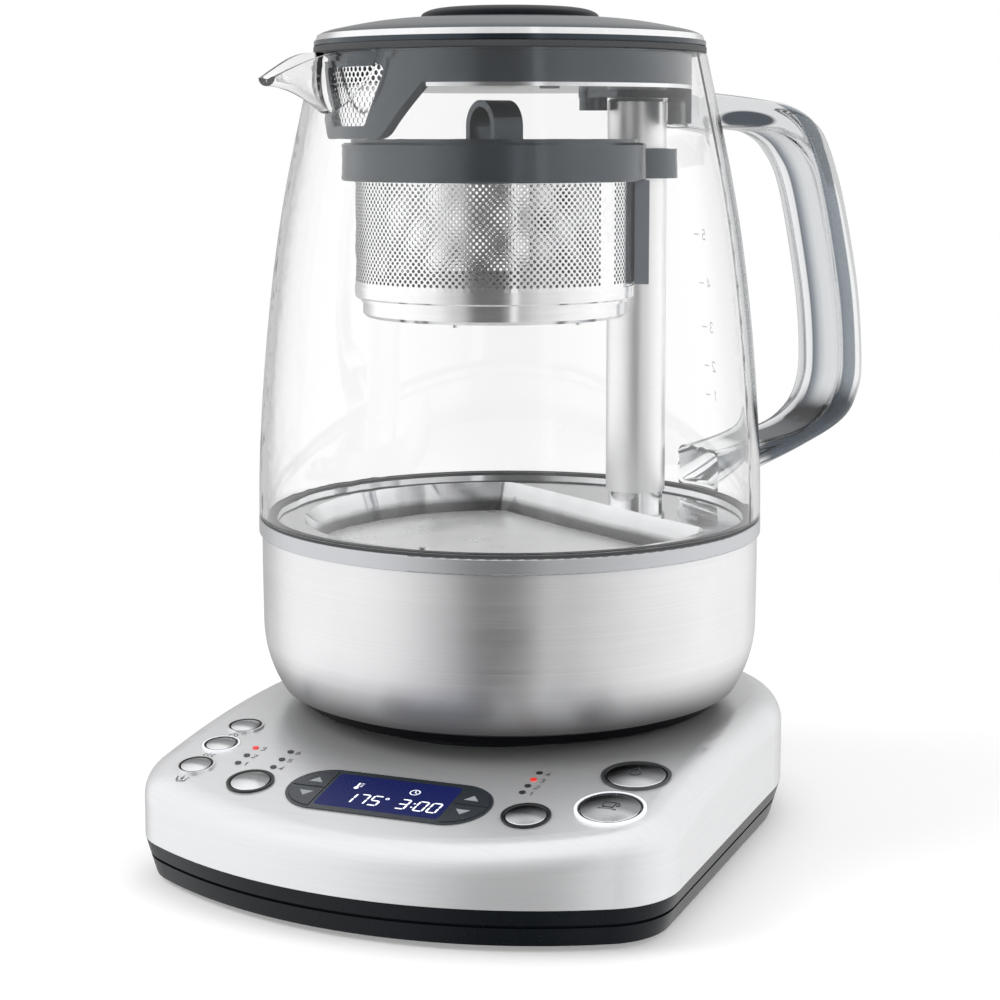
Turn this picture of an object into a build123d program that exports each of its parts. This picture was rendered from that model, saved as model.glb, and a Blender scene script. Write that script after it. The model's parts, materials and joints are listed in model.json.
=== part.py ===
from build123d import *

import os
from math import asin, cos, radians, sin, sqrt

os.makedirs("parts", exist_ok=True)

# Automatic tea maker: a glass jug with a steel bowl on a powered base. Millimetres, Z up, front toward -Y,
# origin on the table under the jug's axis.

# Clearances
fit = 0.08  # radial running fit
key_gap = 0.1  # gap round the display's arrow keys

# Base, plan view
half_width = 86.0
back_corner = 66.0
back_reach = 86.0
bow_crest = 126.0
bow_radius = 145.0
front_corner = 25.0

# Base, side view
foot_height = 2.0
cover_foot = 13.4
plateau = 42.0
slope_start = 15.0
slope_radius = 467.0
edge_roll = 9.5
cover_wall = 1.5
tray_inset = 3.3
tray_wall = 2.4
groove_low = 7.6
groove_high = 8.6

# Seat of the jug
seat_radius = 60.0
seat_spigot = 58.0
seat_gap = 0.15
column_radius = 24.0
post_radius = 9.5
post_top = 53.0

# Controls: places are (x, distance in front of the jug's axis)
small_places = [(-66.5, 61.5), (-66.5, 77.4), (-66.5, 93.1)]
select_places = [(-44.5, 98.9), (44.5, 98.9)]
large_places = [(66.5, 65.5), (66.5, 88.8)]
small_ring, small_cap = 5.9, 4.7
select_ring, select_cap = 7.3, 6.0
large_ring, large_cap = 10.5, 8.85
ring_rise = 0.6
ring_depth = 3.2
ring_gap = 0.45
cap_rise = 0.5
cap_bulge = 0.14
flange_lip = 0.8
stem_end = 8.0
button_travel = 1.0
key_travel = 0.8
tea_columns = [-54.6, -42.4]
tea_rows = [76.8, 82.6, 88.2]
strength_column = 38.0
strength_rows = [71.2, 76.0, 80.7, 85.2]
lamp_radius = 1.0

# Display
panel_place = (0.5, 97.5)
panel_length, panel_width = 65.0, 24.5
panel_depth = 3.0
panel_rise = 0.3
window_length, window_width = 40.0, 20.0
window_depth = 1.2
key_radius = 11.2
key_offset = 20.9
key_split = 0.35
board_depth = 12.0
board_thickness = 1.6
board_middle = 85.0

# Jug: its spout points 35 degrees to the left of the base's front
jug_turn = 35.0
jug_foot = 44.0
seat_top = jug_foot - seat_gap
foot_radius = 70.0
bowl_floor = 47.3
bowl_top = 98.9
bowl_radius = 81.6
bowl_wall = 1.2
trim_radius = 82.6
trim_top = 104.0
trim_inner = 78.2
seal_top = 105.0
glass_wall = 2.6
glass_rim = 253.8
glass_height = glass_rim - seal_top
glass_shape = [(82.5, 0.0), (82.4, 0.074), (81.1, 0.249), (78.1, 0.47), (73.5, 0.685), (66.9, 0.9), (64.0, 0.988),
               (63.6, 1.0)]  # radius, share of the glass's height
glass_profile = [(r, seal_top + share * glass_height) for r, share in glass_shape]

# Jug's plug
plug_radius = 18.0
plug_flange = 22.0
plug_bottom = 44.3
plug_top = 57.0

# Floor of the jug
shelf = 103.0
pan_wall = 1.2
well_floor = 93.4
well_radius = 68.0
well_edge = 38.0

# Tube, screw and magnets
tube_place = 52.0  # distance from the jug's axis toward the handle
tube_radius = 10.25
tube_wall = 1.2
tube_top = glass_rim - 13.8
screw_radius = 3.0
carrier_low, carrier_high = tube_top - 31.0, tube_top - 11.0

# Handle
handle_width = 24.0
handle_edge = 3.0

# Basket: its axis lies a little toward the spout
basket_place = 6.0
collar_radius = 49.3
collar_height = 12.2
collar_high = tube_top - 14.6
collar_low = collar_high - collar_height
mesh_radius = 45.0
mesh_wall = 0.5
mesh_height = 33.4
mesh_low = collar_low - mesh_height
ring_radius = 45.4
ring_height = 4.1
ring_low = mesh_low - ring_height
cap_radius = 42.7
cap_height = 6.1
cap_low = ring_low - cap_height
cradle_radius = 50.3
cradle_inner = 45.7

# Lid
skirt_low = glass_rim - 10.3
skirt_radius = 58.9
skirt_inner = 57.0
seal_radius = 63.5
seal_height = 2.5
flange_low = glass_rim + seal_height
flange_high = flange_low + 1.5
lid_ring_top = flange_high + 1.9
dome_rise = 5.3
dome_top = lid_ring_top + dome_rise
knob_radius = 29.0
knob_height = 3.7
knob_top = dome_top + knob_height

# Spout filter
frame_radius = 60.0
frame_inner = 57.5


def base_outline(inset, height):
    """Plan outline of the base, moved inwards by inset."""
    flat, deep = half_width - back_corner, back_reach - back_corner
    bow_corner = bow_radius - bow_crest - sqrt(bow_radius**2 - half_width**2)
    bulge = back_corner / sqrt(2)
    with BuildSketch(Plane.XY.offset(height)) as plan:
        with BuildLine():
            Line((half_width, bow_corner), (half_width, deep))
            ThreePointArc((half_width, deep), (flat + bulge, deep + bulge), (flat, back_reach))
            Line((flat, back_reach), (-flat, back_reach))
            ThreePointArc((-flat, back_reach), (-flat - bulge, deep + bulge), (-half_width, deep))
            Line((-half_width, deep), (-half_width, bow_corner))
            ThreePointArc((-half_width, bow_corner), (0, -bow_crest), (half_width, bow_corner))
        make_face()
        fillet(plan.vertices().group_by(Axis.Y)[0], front_corner)
        if inset:
            offset(amount=-inset)
    return plan.sketch


def slope_drop(reach, inset=0.0):
    """Drop of the base's top at a distance reach in front of the plateau's edge."""
    radius = slope_radius - inset
    return radius - sqrt(radius**2 - reach**2)


def cover_form(inset, foot):
    """Closed form of the base's upper body, its skin moved inwards by inset."""
    outline = base_outline(inset, foot)
    top = plateau - inset
    far = bow_crest + 10
    with BuildPart() as form:
        add(outline)
        extrude(amount=top - foot)
        with BuildSketch(Plane.YZ):
            with BuildLine():
                middle = (slope_start + far) / 2
                ThreePointArc((-slope_start, top), (-middle, top - slope_drop(middle - slope_start, inset)),
                              (-far, top - slope_drop(far - slope_start, inset)))
                Polyline((-far, top - slope_drop(far - slope_start, inset)), (-far, top + 1),
                         (-slope_start, top + 1), (-slope_start, top))
            make_face()
        extrude(amount=half_width + 1, both=True, mode=Mode.SUBTRACT)
        rims = [edge for edge in form.edges()
                if edge.center().Z > (foot + plateau) / 2 + 2
                and abs(edge.tangent_at(0.5).Z) < 0.9
                and not (abs(edge.center().X) < 1 and abs(edge.center().Y + slope_start) < 1)]
        fillet(rims, edge_roll - inset)
    return form.part


def panel_plane(place, depth=0.0):
    """Plane on the base's top at a place, its normal along the local slope."""
    x, reach = place
    slope = asin((reach - slope_start) / slope_radius)
    height = plateau - slope_drop(reach - slope_start)
    normal = (0, -sin(slope), cos(slope))
    return Plane(origin=(x, -reach, height), x_dir=(1, 0, 0), z_dir=normal).offset(-depth)


def jug_plane(height, along=0.0):
    """Level plane in the jug's own directions: local -Y points along the spout, +Y along the handle."""
    turn = radians(jug_turn)
    return Plane(origin=(along * sin(turn), along * cos(turn), height),
                 x_dir=(cos(turn), -sin(turn), 0), z_dir=(0, 0, 1))


def side_plane(along=0.0, swing=0.0):
    """Upright plane at a distance along the handle: local X toward the handle or swung clockwise from it, Y up."""
    turn = radians(jug_turn)
    swung = radians(jug_turn + swing)
    return Plane(origin=(along * sin(turn), along * cos(turn), 0),
                 x_dir=(sin(swung), cos(swung), 0), z_dir=(cos(swung), -sin(swung), 0))


def spout_plane(along):
    """Upright plane across the spout at a distance from the jug's axis: local X across, local Y up."""
    turn = radians(jug_turn)
    return Plane(origin=(-along * sin(turn), -along * cos(turn), 0),
                 x_dir=(cos(turn), -sin(turn), 0), z_dir=(-sin(turn), -cos(turn), 0))


def save(part, name):
    part.label = name
    export_step(part, f"parts/{name}.step")


tube_plane = side_plane(tube_place)
basket_plane = side_plane(-basket_place)
tube_axis = Axis(tuple(tube_plane.origin), (0, 0, 1))
basket_axis = Axis(tuple(basket_plane.origin), (0, 0, 1))
small_buttons = [(f"small_button_{n + 1}", place, small_ring, small_cap) for n, place in enumerate(small_places)]
select_buttons = [(name, place, select_ring, select_cap)
                  for name, place in zip(("select_button_left", "select_button_right"), select_places)]
large_buttons = [(name, place, large_ring, large_cap)
                 for name, place in zip(("large_button_upper", "large_button_lower"), large_places)]
buttons = small_buttons + select_buttons + large_buttons
arrow_keys = [("key_left_up", -1, 1), ("key_left_down", -1, -1),
              ("key_right_up", 1, 1), ("key_right_down", 1, -1)]
tea_lamps = [(x, reach) for x in tea_columns for reach in tea_rows]
strength_lamps = [(strength_column, reach) for reach in strength_rows]


def key_outline(side, rise, radius, edge, split):
    """Quarter disc in one round end of the display's panel."""
    with BuildSketch() as outline:
        with Locations((side * (panel_length - panel_width) / 2, 0)):
            Circle(radius)
        with Locations((side * (edge + radius), rise * (split + radius))):
            Rectangle(2 * radius, 2 * radius, mode=Mode.INTERSECT)
    return outline.sketch


# Base cover: rolled sheet shell with studs for the tray's screws
stud_foot = 14.0
screw_places = [(-72.0, -42.0), (72.0, -42.0), (-58.0, 46.0), (58.0, 46.0)]
outlet_height = cover_foot + 8
outlet_radius = 4.5
cover_skin = cover_form(0, cover_foot)
cover_space = cover_form(cover_wall, cover_foot - 1)
with BuildPart() as base_cover:
    add(cover_skin)
    add(cover_space, mode=Mode.SUBTRACT)
    with BuildSketch(Plane.XY.offset(plateau + 1)):
        Circle(seat_spigot)
    extrude(amount=-cover_wall - 4, mode=Mode.SUBTRACT)
    for name, place, ring, cap in buttons:
        with BuildSketch(panel_plane(place, ring_depth)):
            Circle(ring)
        extrude(amount=ring_depth + 3, mode=Mode.SUBTRACT)
    for place in tea_lamps + strength_lamps:
        with BuildSketch(panel_plane(place, ring_depth)):
            Circle(lamp_radius)
        extrude(amount=ring_depth + 3, mode=Mode.SUBTRACT)
    with BuildSketch(panel_plane(panel_place, ring_depth)):
        SlotOverall(panel_length, panel_width)
    extrude(amount=ring_depth + 3, mode=Mode.SUBTRACT)
    with BuildSketch(Plane.XZ.offset(-back_reach)):
        with Locations((0, outlet_height)):
            Circle(outlet_radius)
    extrude(amount=cover_wall + 2, mode=Mode.SUBTRACT)
    for x, y in screw_places:
        with BuildSketch(Plane.XY.offset(stud_foot)):
            with Locations((x, y)):
                Circle(3.5)
        extrude(amount=plateau - slope_drop(max(-y - slope_start, 0)) - cover_wall / 2 - stud_foot)
        with BuildSketch(Plane.XY.offset(stud_foot)):
            with Locations((x, y)):
                Circle(1.5)
        extrude(amount=14, mode=Mode.SUBTRACT)
save(base_cover.part, "base_cover")

# Tray: tapered wall with a groove, lip inside the cover, bosses for boards and screws
board_plane = panel_plane((0, board_middle), board_depth)
board_under = board_plane.offset(-board_thickness)
board_bosses = [(-66.0, -56.0), (66.0, -56.0), (-48.0, -100.0), (48.0, -100.0)]
main_board_low = 9.0
main_board_feet = [(-58.0, -28.0), (58.0, -28.0), (-58.0, 28.0), (58.0, 28.0)]
floor_top = foot_height + tray_wall
with BuildPart() as base_bottom:
    add(base_outline(tray_inset, foot_height))
    add(base_outline(0, cover_foot))
    loft(ruled=True)
    add(base_outline(tray_inset + tray_wall, floor_top))
    add(base_outline(tray_wall, cover_foot))
    loft(ruled=True, mode=Mode.SUBTRACT)
    with BuildSketch(Plane.XY.offset(groove_low)):
        add(base_outline(-4, 0))
        add(base_outline(tray_inset - 0.6, 0), mode=Mode.SUBTRACT)
    extrude(amount=groove_high - groove_low, mode=Mode.SUBTRACT)
    with BuildSketch(Plane.XY.offset(cover_foot - 2)):
        add(base_outline(cover_wall, 0))
        add(base_outline(cover_wall + 2, 0), mode=Mode.SUBTRACT)
    extrude(amount=5)
    for x, y in board_bosses:
        with BuildSketch(Plane.XY.offset(floor_top)):
            with Locations((x, y)):
                Circle(3.5)
        extrude(amount=30 - floor_top)
    split(bisect_by=board_under, keep=Keep.BOTTOM)
    with BuildSketch(Plane.XY.offset(floor_top)):
        with Locations(*main_board_feet):
            Circle(3.5)
    extrude(amount=main_board_low - floor_top)
    with BuildSketch(Plane.XY.offset(floor_top)):
        with Locations(*screw_places):
            Circle(4)
    extrude(amount=stud_foot - floor_top)
    with BuildSketch(Plane.XY.offset(foot_height)):
        with Locations(*screw_places):
            Circle(3.2)
    extrude(amount=tray_wall, mode=Mode.SUBTRACT)
    with BuildSketch(Plane.XY.offset(foot_height)):
        with Locations(*screw_places):
            Circle(1.5)
    extrude(amount=stud_foot, mode=Mode.SUBTRACT)
save(base_bottom.part, "base_bottom")

# Foot ring
with BuildPart() as foot_ring:
    with BuildSketch(Plane.XY):
        add(base_outline(9, 0))
        add(base_outline(16, 0), mode=Mode.SUBTRACT)
    extrude(amount=foot_height)
save(foot_ring.part, "foot_ring")

# Screws under the tray
with BuildPart() as base_screws:
    with BuildSketch(Plane.XY.offset(foot_height + 0.4)):
        with Locations(*screw_places):
            Circle(3.2)
    extrude(amount=tray_wall - 0.4)
    with BuildSketch(Plane.XY.offset(floor_top)):
        with Locations(*screw_places):
            Circle(1.5)
    extrude(amount=20)
    with BuildSketch(Plane.XY.offset(foot_height + 0.4)):
        with Locations(*screw_places):
            Rectangle(3.6, 0.8)
            Rectangle(0.8, 3.6)
    extrude(amount=1, mode=Mode.SUBTRACT)
save(base_screws.part, "base_screws")

# Cord outlet in the back wall, closed by its plug
with BuildPart() as cord_outlet:
    with BuildSketch(Plane.XZ.offset(-back_reach)):
        with Locations((0, outlet_height)):
            Circle(outlet_radius + 2)
    extrude(amount=-1.6)
    with BuildSketch(Plane.XZ.offset(-back_reach)):
        with Locations((0, outlet_height)):
            Circle(outlet_radius)
    extrude(amount=6)
    with BuildSketch(Plane.XZ.offset(-back_reach - 1.6)):
        with Locations((0, outlet_height)):
            Circle(outlet_radius - 1.4)
    extrude(amount=1.2, mode=Mode.SUBTRACT)
save(cord_outlet.part, "cord_outlet")

# Seat: disc on the cover, spigot through it, column down to the tray's floor
seat_hole = 14.0
with BuildPart() as seat_ring:
    with BuildSketch(Plane.XZ):
        with BuildLine():
            Polyline((seat_hole, seat_top), (seat_radius - 0.6, seat_top), (seat_radius, seat_top - 0.6),
                     (seat_radius, plateau), (seat_spigot, plateau), (seat_spigot, plateau - 5),
                     (seat_spigot - 2, plateau - 5), (seat_spigot - 2, plateau - 0.4),
                     (column_radius, plateau - 0.4), (column_radius, floor_top), (column_radius - 2, floor_top),
                     (column_radius - 2, plateau - 0.4), (seat_hole, plateau - 0.4), (seat_hole, seat_top))
        make_face()
    revolve(axis=Axis.Z)
save(seat_ring.part, "seat_ring")

# Contact post of the base, with its contact rings in relief
with BuildPart() as base_connector:
    with BuildSketch(Plane.XZ):
        with BuildLine():
            Polyline((0, 30), (seat_hole, 30), (seat_hole, seat_top), (post_radius, seat_top),
                     (post_radius, post_top - 1), (post_radius - 1, post_top), (3, post_top),
                     (3, post_top - 6), (0, post_top - 6), (0, 30))
        make_face()
    revolve(axis=Axis.Z)
save(base_connector.part, "base_connector")

# Power board
with BuildPart() as main_board:
    with BuildSketch(Plane.XY.offset(main_board_low)):
        RectangleRounded(132, 72, 4)
        Circle(column_radius + 2, mode=Mode.SUBTRACT)
    extrude(amount=board_thickness)
    with BuildSketch(Plane.XY.offset(main_board_low + board_thickness)):
        with Locations((-44, 18)):
            Rectangle(20, 16)
        with Locations((-44, -16)):
            Rectangle(28, 12)
    extrude(amount=13)
    with BuildSketch(Plane.XY.offset(main_board_low + board_thickness)):
        with Locations((46, -14)):
            Rectangle(26, 24)
        with Locations((42, 14), (54, 26)):
            Circle(5)
    extrude(amount=17)
save(main_board.part, "main_board")

# Switch board under the panel, one switch under each stem
key_stem = (key_offset + 4.3, key_split + 4.3)
switch_gap = 0.2
with BuildPart() as display_board:
    with BuildSketch(board_plane):
        with BuildLine():
            Polyline((-76, 34), (76, 34), (76, -5), (54, -20), (-54, -20), (-76, -5), (-76, 34))
        make_face()
    extrude(amount=-board_thickness)
    for name, place, ring, cap in buttons:
        with BuildSketch(panel_plane(place, stem_end + button_travel + switch_gap)):
            Rectangle(6, 6)
        extrude(amount=-board_depth - 0.8 + stem_end + button_travel + switch_gap)
    with BuildSketch(panel_plane(panel_place, stem_end + key_travel + switch_gap)):
        with Locations(*[(x, y) for x in (-key_stem[0], key_stem[0]) for y in (-key_stem[1], key_stem[1])]):
            Rectangle(5, 5)
    extrude(amount=-board_depth - 0.8 + stem_end + key_travel + switch_gap)
save(display_board.part, "display_board")

# Display panel with holes for the arrow keys and a recess for the window
with BuildPart() as lcd_panel:
    with BuildSketch(panel_plane(panel_place, panel_depth)):
        SlotOverall(panel_length, panel_width)
    extrude(amount=panel_depth + panel_rise)
    for name, side, rise in arrow_keys:
        with BuildSketch(panel_plane(panel_place, panel_depth + 1)):
            add(key_outline(side, rise, key_radius + key_gap, key_offset - key_gap, key_split - key_gap))
        extrude(amount=panel_depth + 3, mode=Mode.SUBTRACT)
    with BuildSketch(panel_plane(panel_place, window_depth - panel_rise)):
        RectangleRounded(window_length, window_width, 1.5)
    extrude(amount=window_depth + 1, mode=Mode.SUBTRACT)
save(lcd_panel.part, "lcd_panel")

with BuildPart() as lcd_window:
    with BuildSketch(panel_plane(panel_place, window_depth - panel_rise)):
        RectangleRounded(window_length, window_width, 1.5)
    extrude(amount=window_depth)
save(lcd_window.part, "lcd_window")

# Indicator lamps: short light pipes in the cover's holes
for name, lamps in (("tea_leds", tea_lamps), ("strength_leds", strength_lamps)):
    with BuildPart() as leds:
        for place in lamps:
            with BuildSketch(panel_plane(place, board_depth - 0.6)):
                Circle(lamp_radius)
            extrude(amount=board_depth - 0.6 + 0.3)
    save(leds.part, name)

# Bright rings, pressed into the cover
with BuildPart() as button_rings:
    for name, place, ring, cap in buttons:
        with BuildSketch(panel_plane(place, ring_depth)):
            Circle(ring)
            Circle(cap + ring_gap, mode=Mode.SUBTRACT)
        extrude(amount=ring_depth + ring_rise)
save(button_rings.part, "button_rings")

# Round buttons: crowned cap in its ring, flange under the ring, stem over the switch
flange_gap = 0.1
flange_thick = 0.8
for name, place, ring, cap in buttons:
    crown_rise = cap_bulge * cap
    crown_radius = (cap ** 2 + crown_rise ** 2) / (2 * crown_rise)
    with BuildPart() as button:
        with BuildSketch(panel_plane(place, stem_end)):
            Circle(1.6)
        extrude(amount=stem_end - ring_depth - flange_gap - flange_thick)
        with BuildSketch(panel_plane(place, ring_depth + flange_gap + flange_thick)):
            Circle(cap + flange_lip)
        extrude(amount=flange_thick)
        with BuildSketch(panel_plane(place, ring_depth + flange_gap)):
            Circle(cap)
        extrude(amount=ring_depth + flange_gap + cap_rise + crown_rise)
        with Locations(panel_plane(place, crown_radius - crown_rise - cap_rise)):
            Sphere(crown_radius, mode=Mode.INTERSECT)
        crown = button.faces().sort_by(Axis(tuple(panel_plane(place).origin), panel_plane(place).z_dir))[-1]
        fillet(crown.edges(), 0.3)
    save(button.part, name)

# Arrow keys
for name, side, rise in arrow_keys:
    with BuildPart() as key:
        with BuildSketch(panel_plane(panel_place, stem_end)):
            with Locations((side * key_stem[0], rise * key_stem[1])):
                Circle(1.5)
        extrude(amount=stem_end - panel_depth - flange_gap - flange_thick)
        with BuildSketch(panel_plane(panel_place, panel_depth + flange_gap + flange_thick)):
            add(key_outline(side, rise, key_radius + flange_lip, key_offset - flange_lip, key_split))
        extrude(amount=flange_thick)
        with BuildSketch(panel_plane(panel_place, panel_depth + flange_gap)):
            add(key_outline(side, rise, key_radius, key_offset, key_split))
        extrude(amount=panel_depth + flange_gap + cap_rise)
    save(key.part, name)

# Jug's plug: socket over the contact post, held by its flange in the jug's foot
collar_top = 49.8
with BuildPart() as jug_connector:
    with BuildSketch(Plane.XZ):
        with BuildLine():
            Polyline((post_radius + fit, plug_bottom), (plug_radius, plug_bottom), (plug_radius, collar_top + 0.1),
                     (plug_flange, collar_top + 0.1), (plug_flange, collar_top + 2.1),
                     (plug_radius, collar_top + 2.1), (plug_radius, plug_top), (0, plug_top),
                     (0, post_top + 1), (post_radius + fit, post_top + 1), (post_radius + fit, plug_bottom))
        make_face()
    revolve(axis=Axis.Z)
save(jug_connector.part, "jug_connector")

# Foot plate of the jug, with the plug's housing
foot_spigot = 66.0
with BuildPart() as jug_bottom_cover:
    with BuildSketch(Plane.XZ):
        with BuildLine():
            Polyline((plug_radius + fit, jug_foot), (foot_radius - 1, jug_foot), (foot_radius, jug_foot + 0.7),
                     (foot_radius + 1.2, bowl_floor), (foot_spigot, bowl_floor), (foot_spigot, bowl_floor + 2.7),
                     (foot_spigot - 2, bowl_floor + 2.7), (foot_spigot - 2, jug_foot + 2.4),
                     (plug_flange + 1.6, jug_foot + 2.4), (plug_flange + 1.6, collar_top + 4.2),
                     (plug_radius + 2.5, collar_top + 4.2), (plug_radius + 2.5, collar_top + 2.3),
                     (plug_flange + 0.1, collar_top + 2.3), (plug_flange + 0.1, jug_foot + 2.4),
                     (plug_radius + 2, jug_foot + 2.4), (plug_radius + 2, collar_top),
                     (plug_radius + fit, collar_top), (plug_radius + fit, jug_foot))
        make_face()
    revolve(axis=Axis.Z)
save(jug_bottom_cover.part, "jug_bottom_cover")

# Steel bowl
bowl_side = 70.0
bowl_arc = 39.7
arc_middle = 41.7
arc_end = (75.2, 48.7)
shrink = (bowl_arc - bowl_wall) / bowl_arc
inner_end = (arc_middle + (arc_end[0] - arc_middle) * shrink, bowl_side + (arc_end[1] - bowl_side) * shrink)
with BuildPart() as bowl_shell:
    with BuildSketch(Plane.XZ):
        with BuildLine():
            Polyline((foot_spigot, bowl_floor + bowl_wall), (foot_spigot, bowl_floor), (71.5, bowl_floor), arc_end)
            RadiusArc(arc_end, (arc_middle + bowl_arc, bowl_side), -bowl_arc)
            Polyline((arc_middle + bowl_arc, bowl_side), (bowl_radius, 89), (bowl_radius, bowl_top),
                     (bowl_radius - bowl_wall, bowl_top), (bowl_radius - bowl_wall, 89),
                     (arc_middle + bowl_arc - bowl_wall, bowl_side))
            RadiusArc((arc_middle + bowl_arc - bowl_wall, bowl_side), inner_end, bowl_arc - bowl_wall)
            Polyline(inner_end, (71.3, bowl_floor + bowl_wall), (foot_spigot, bowl_floor + bowl_wall))
        make_face()
    revolve(axis=Axis.Z)
save(bowl_shell.part, "bowl_shell")

# Satin ring between bowl and glass
with BuildPart() as trim_ring:
    with BuildSketch(Plane.XZ) as trim_section:
        with BuildLine():
            Polyline((trim_inner, trim_top), (trim_inner, bowl_top - 4), (bowl_radius - bowl_wall, bowl_top - 4),
                     (bowl_radius - bowl_wall, bowl_top), (trim_radius, bowl_top), (trim_radius, trim_top),
                     (trim_inner, trim_top))
        make_face()
        fillet(trim_section.vertices().group_by(Axis.X)[-1], 0.5)
    revolve(axis=Axis.Z)
save(trim_ring.part, "trim_ring")

# Gasket under the glass
with BuildPart() as glass_seal:
    with BuildSketch(Plane.XZ):
        with BuildLine():
            Polyline((trim_inner - 1, trim_top), (trim_radius - 0.5, trim_top), (trim_radius - 0.5, seal_top),
                     (trim_inner - 1, seal_top), (trim_inner - 1, trim_top))
        make_face()
    revolve(axis=Axis.Z)
save(glass_seal.part, "glass_seal")

# Closed form of the glass, for the pieces that meet its outside
with BuildPart() as glass_form:
    with BuildSketch(Plane.XZ):
        with BuildLine():
            Spline(*glass_profile)
            Polyline(glass_profile[-1], (0, glass_rim), (0, bowl_top), (glass_profile[0][0], bowl_top),
                     glass_profile[0])
        make_face()
    revolve(axis=Axis.Z)

# Space inside the glass
inner_profile = [(r - glass_wall, z) for r, z in glass_profile]
with BuildPart() as glass_space:
    with BuildSketch(Plane.XZ):
        with BuildLine():
            Spline(*inner_profile)
            Polyline(inner_profile[-1], (inner_profile[-1][0], glass_rim + 2), (0, glass_rim + 2), (0, bowl_top),
                     (inner_profile[0][0], bowl_top), inner_profile[0])
        make_face()
    revolve(axis=Axis.Z)

# Glass with its spout: stations are distance, half width, then top and bottom of the channel below the rim
spout_outside = [(50.0, 25.0, 0.0, 31.8), (60.0, 20.5, 0.0, 25.3), (68.0, 15.5, 0.5, 19.3),
                 (78.0, 9.5, 3.5, 13.5), (88.0, 5.5, 8.6, 11.2)]
spout_inside = [(44.0, 24.0, 0.0, 33.8), (60.0, 18.2, 0.0, 22.9), (68.0, 13.2, 0.5, 16.9),
                (78.0, 7.3, 3.5, 11.2), (90.0, 3.6, 7.4, 9.1)]
spout_clear = glass_rim + 8.2
with BuildPart() as glass_body:
    for along, half, top, bottom in spout_outside:
        with BuildSketch(spout_plane(along)):
            with BuildLine():
                EllipticalCenterArc((0, glass_rim - top), half, bottom - top, 180, arc_size=180)
                Line((-half, glass_rim - top), (half, glass_rim - top))
            make_face()
    loft()
    add(glass_form.part)
    add(glass_space.part, mode=Mode.SUBTRACT)
    for along, half, top, bottom in spout_inside:
        with BuildSketch(spout_plane(along)):
            with BuildLine():
                EllipticalCenterArc((0, glass_rim - top), half, bottom - top, 180, arc_size=180)
                Polyline((-half, glass_rim - top), (-half, spout_clear), (half, spout_clear),
                         (half, glass_rim - top))
            make_face()
    loft(mode=Mode.SUBTRACT)
    split(bisect_by=Plane.XY.offset(seal_top), keep=Keep.TOP)
save(glass_body.part, "glass_body")

# Handle
# Outlines are distance from the jug's axis, share of the glass's height
handle_outer = [(58, 0.929), (75, 0.923), (97, 0.910), (111.3, 0.894), (122.4, 0.855), (129, 0.793), (136, 0.665),
                (143, 0.464), (145.6, 0.285), (144.0, 0.208), (137, 0.142), (118, 0.089), (99, 0.046),
                (72, -0.013)]
handle_inner = [(58, 0.847), (75, 0.844), (98, 0.839), (107, 0.827), (115, 0.788), (122.6, 0.698), (131, 0.454),
                (133.3, 0.292), (131.2, 0.212), (125, 0.159), (116, 0.128), (99, 0.108), (72, 0.087)]
handle_outer, handle_inner = [[(along, seal_top + share * glass_height) for along, share in outline]
                              for outline in (handle_outer, handle_inner)]
with BuildPart() as handle:
    with BuildSketch(side_plane()):
        with BuildLine():
            Spline(*handle_outer)
            Spline(*handle_inner)
            Line(handle_outer[0], handle_inner[0])
            Line(handle_outer[-1], handle_inner[-1])
        make_face()
    extrude(amount=handle_width / 2, both=True)
    long_edges = handle.edges().filter_by(GeomType.BSPLINE)
    fillet(long_edges, handle_edge)
    add(glass_form.part, mode=Mode.SUBTRACT)
save(handle.part, "handle")


def well_outline(grow, height):
    """D-shaped outline of the well, moved outwards by grow."""
    with BuildSketch(jug_plane(height)) as outline:
        Circle(well_radius)
        with Locations((0, well_edge - well_radius * 1.5)):
            Rectangle(4 * well_radius, 3 * well_radius, mode=Mode.INTERSECT)
        fillet(outline.vertices(), 9)
        if grow:
            offset(amount=grow)
    return outline.sketch


# Floor of the jug: shelf with rim, and the well in front of the post
sensor_place = (13.0, -41.0)
sensor_radius = 1.6
well_slant = 5.0
with BuildPart() as floor_pan:
    with BuildSketch(Plane.XY.offset(shelf - pan_wall)):
        Circle(trim_inner)
    extrude(amount=pan_wall)
    with BuildSketch(Plane.XY.offset(shelf)):
        Circle(trim_inner)
        Circle(trim_inner - pan_wall, mode=Mode.SUBTRACT)
    extrude(amount=trim_top - shelf)
    add(well_outline(pan_wall, shelf - pan_wall / 2))
    add(well_outline(pan_wall - well_slant, well_floor - pan_wall))
    loft(ruled=True)
    add(well_outline(0, shelf))
    add(well_outline(-well_slant, well_floor))
    loft(ruled=True, mode=Mode.SUBTRACT)
    with BuildSketch(jug_plane(shelf + 1, tube_place)):
        Circle(screw_radius + 0.3)
    extrude(amount=-4, mode=Mode.SUBTRACT)
    with BuildSketch(jug_plane(well_floor + 1)):
        with Locations(sensor_place):
            Circle(sensor_radius)
    extrude(amount=-4, mode=Mode.SUBTRACT)
save(floor_pan.part, "floor_pan")

# Tube element under the well
element_radius = 27.0
element_tube = 3.5
element_middle = well_floor - pan_wall - element_tube + 0.4
with BuildPart() as heating_element:
    with BuildSketch(side_plane()):
        with Locations((element_radius, element_middle)):
            Circle(element_tube)
        with Locations((element_radius, well_floor - pan_wall - 10)):
            Rectangle(20, 20, mode=Mode.INTERSECT)
    revolve(axis=Axis.Z, revolution_arc=320)
save(heating_element.part, "heating_element")

with BuildPart() as thermostat:
    with BuildSketch(Plane.XY.offset(well_floor - pan_wall)):
        Circle(9)
    extrude(amount=-6)
    with BuildSketch(Plane.XY.offset(well_floor - pan_wall - 6)):
        Rectangle(14, 4)
    extrude(amount=-3)
save(thermostat.part, "thermostat")

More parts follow.
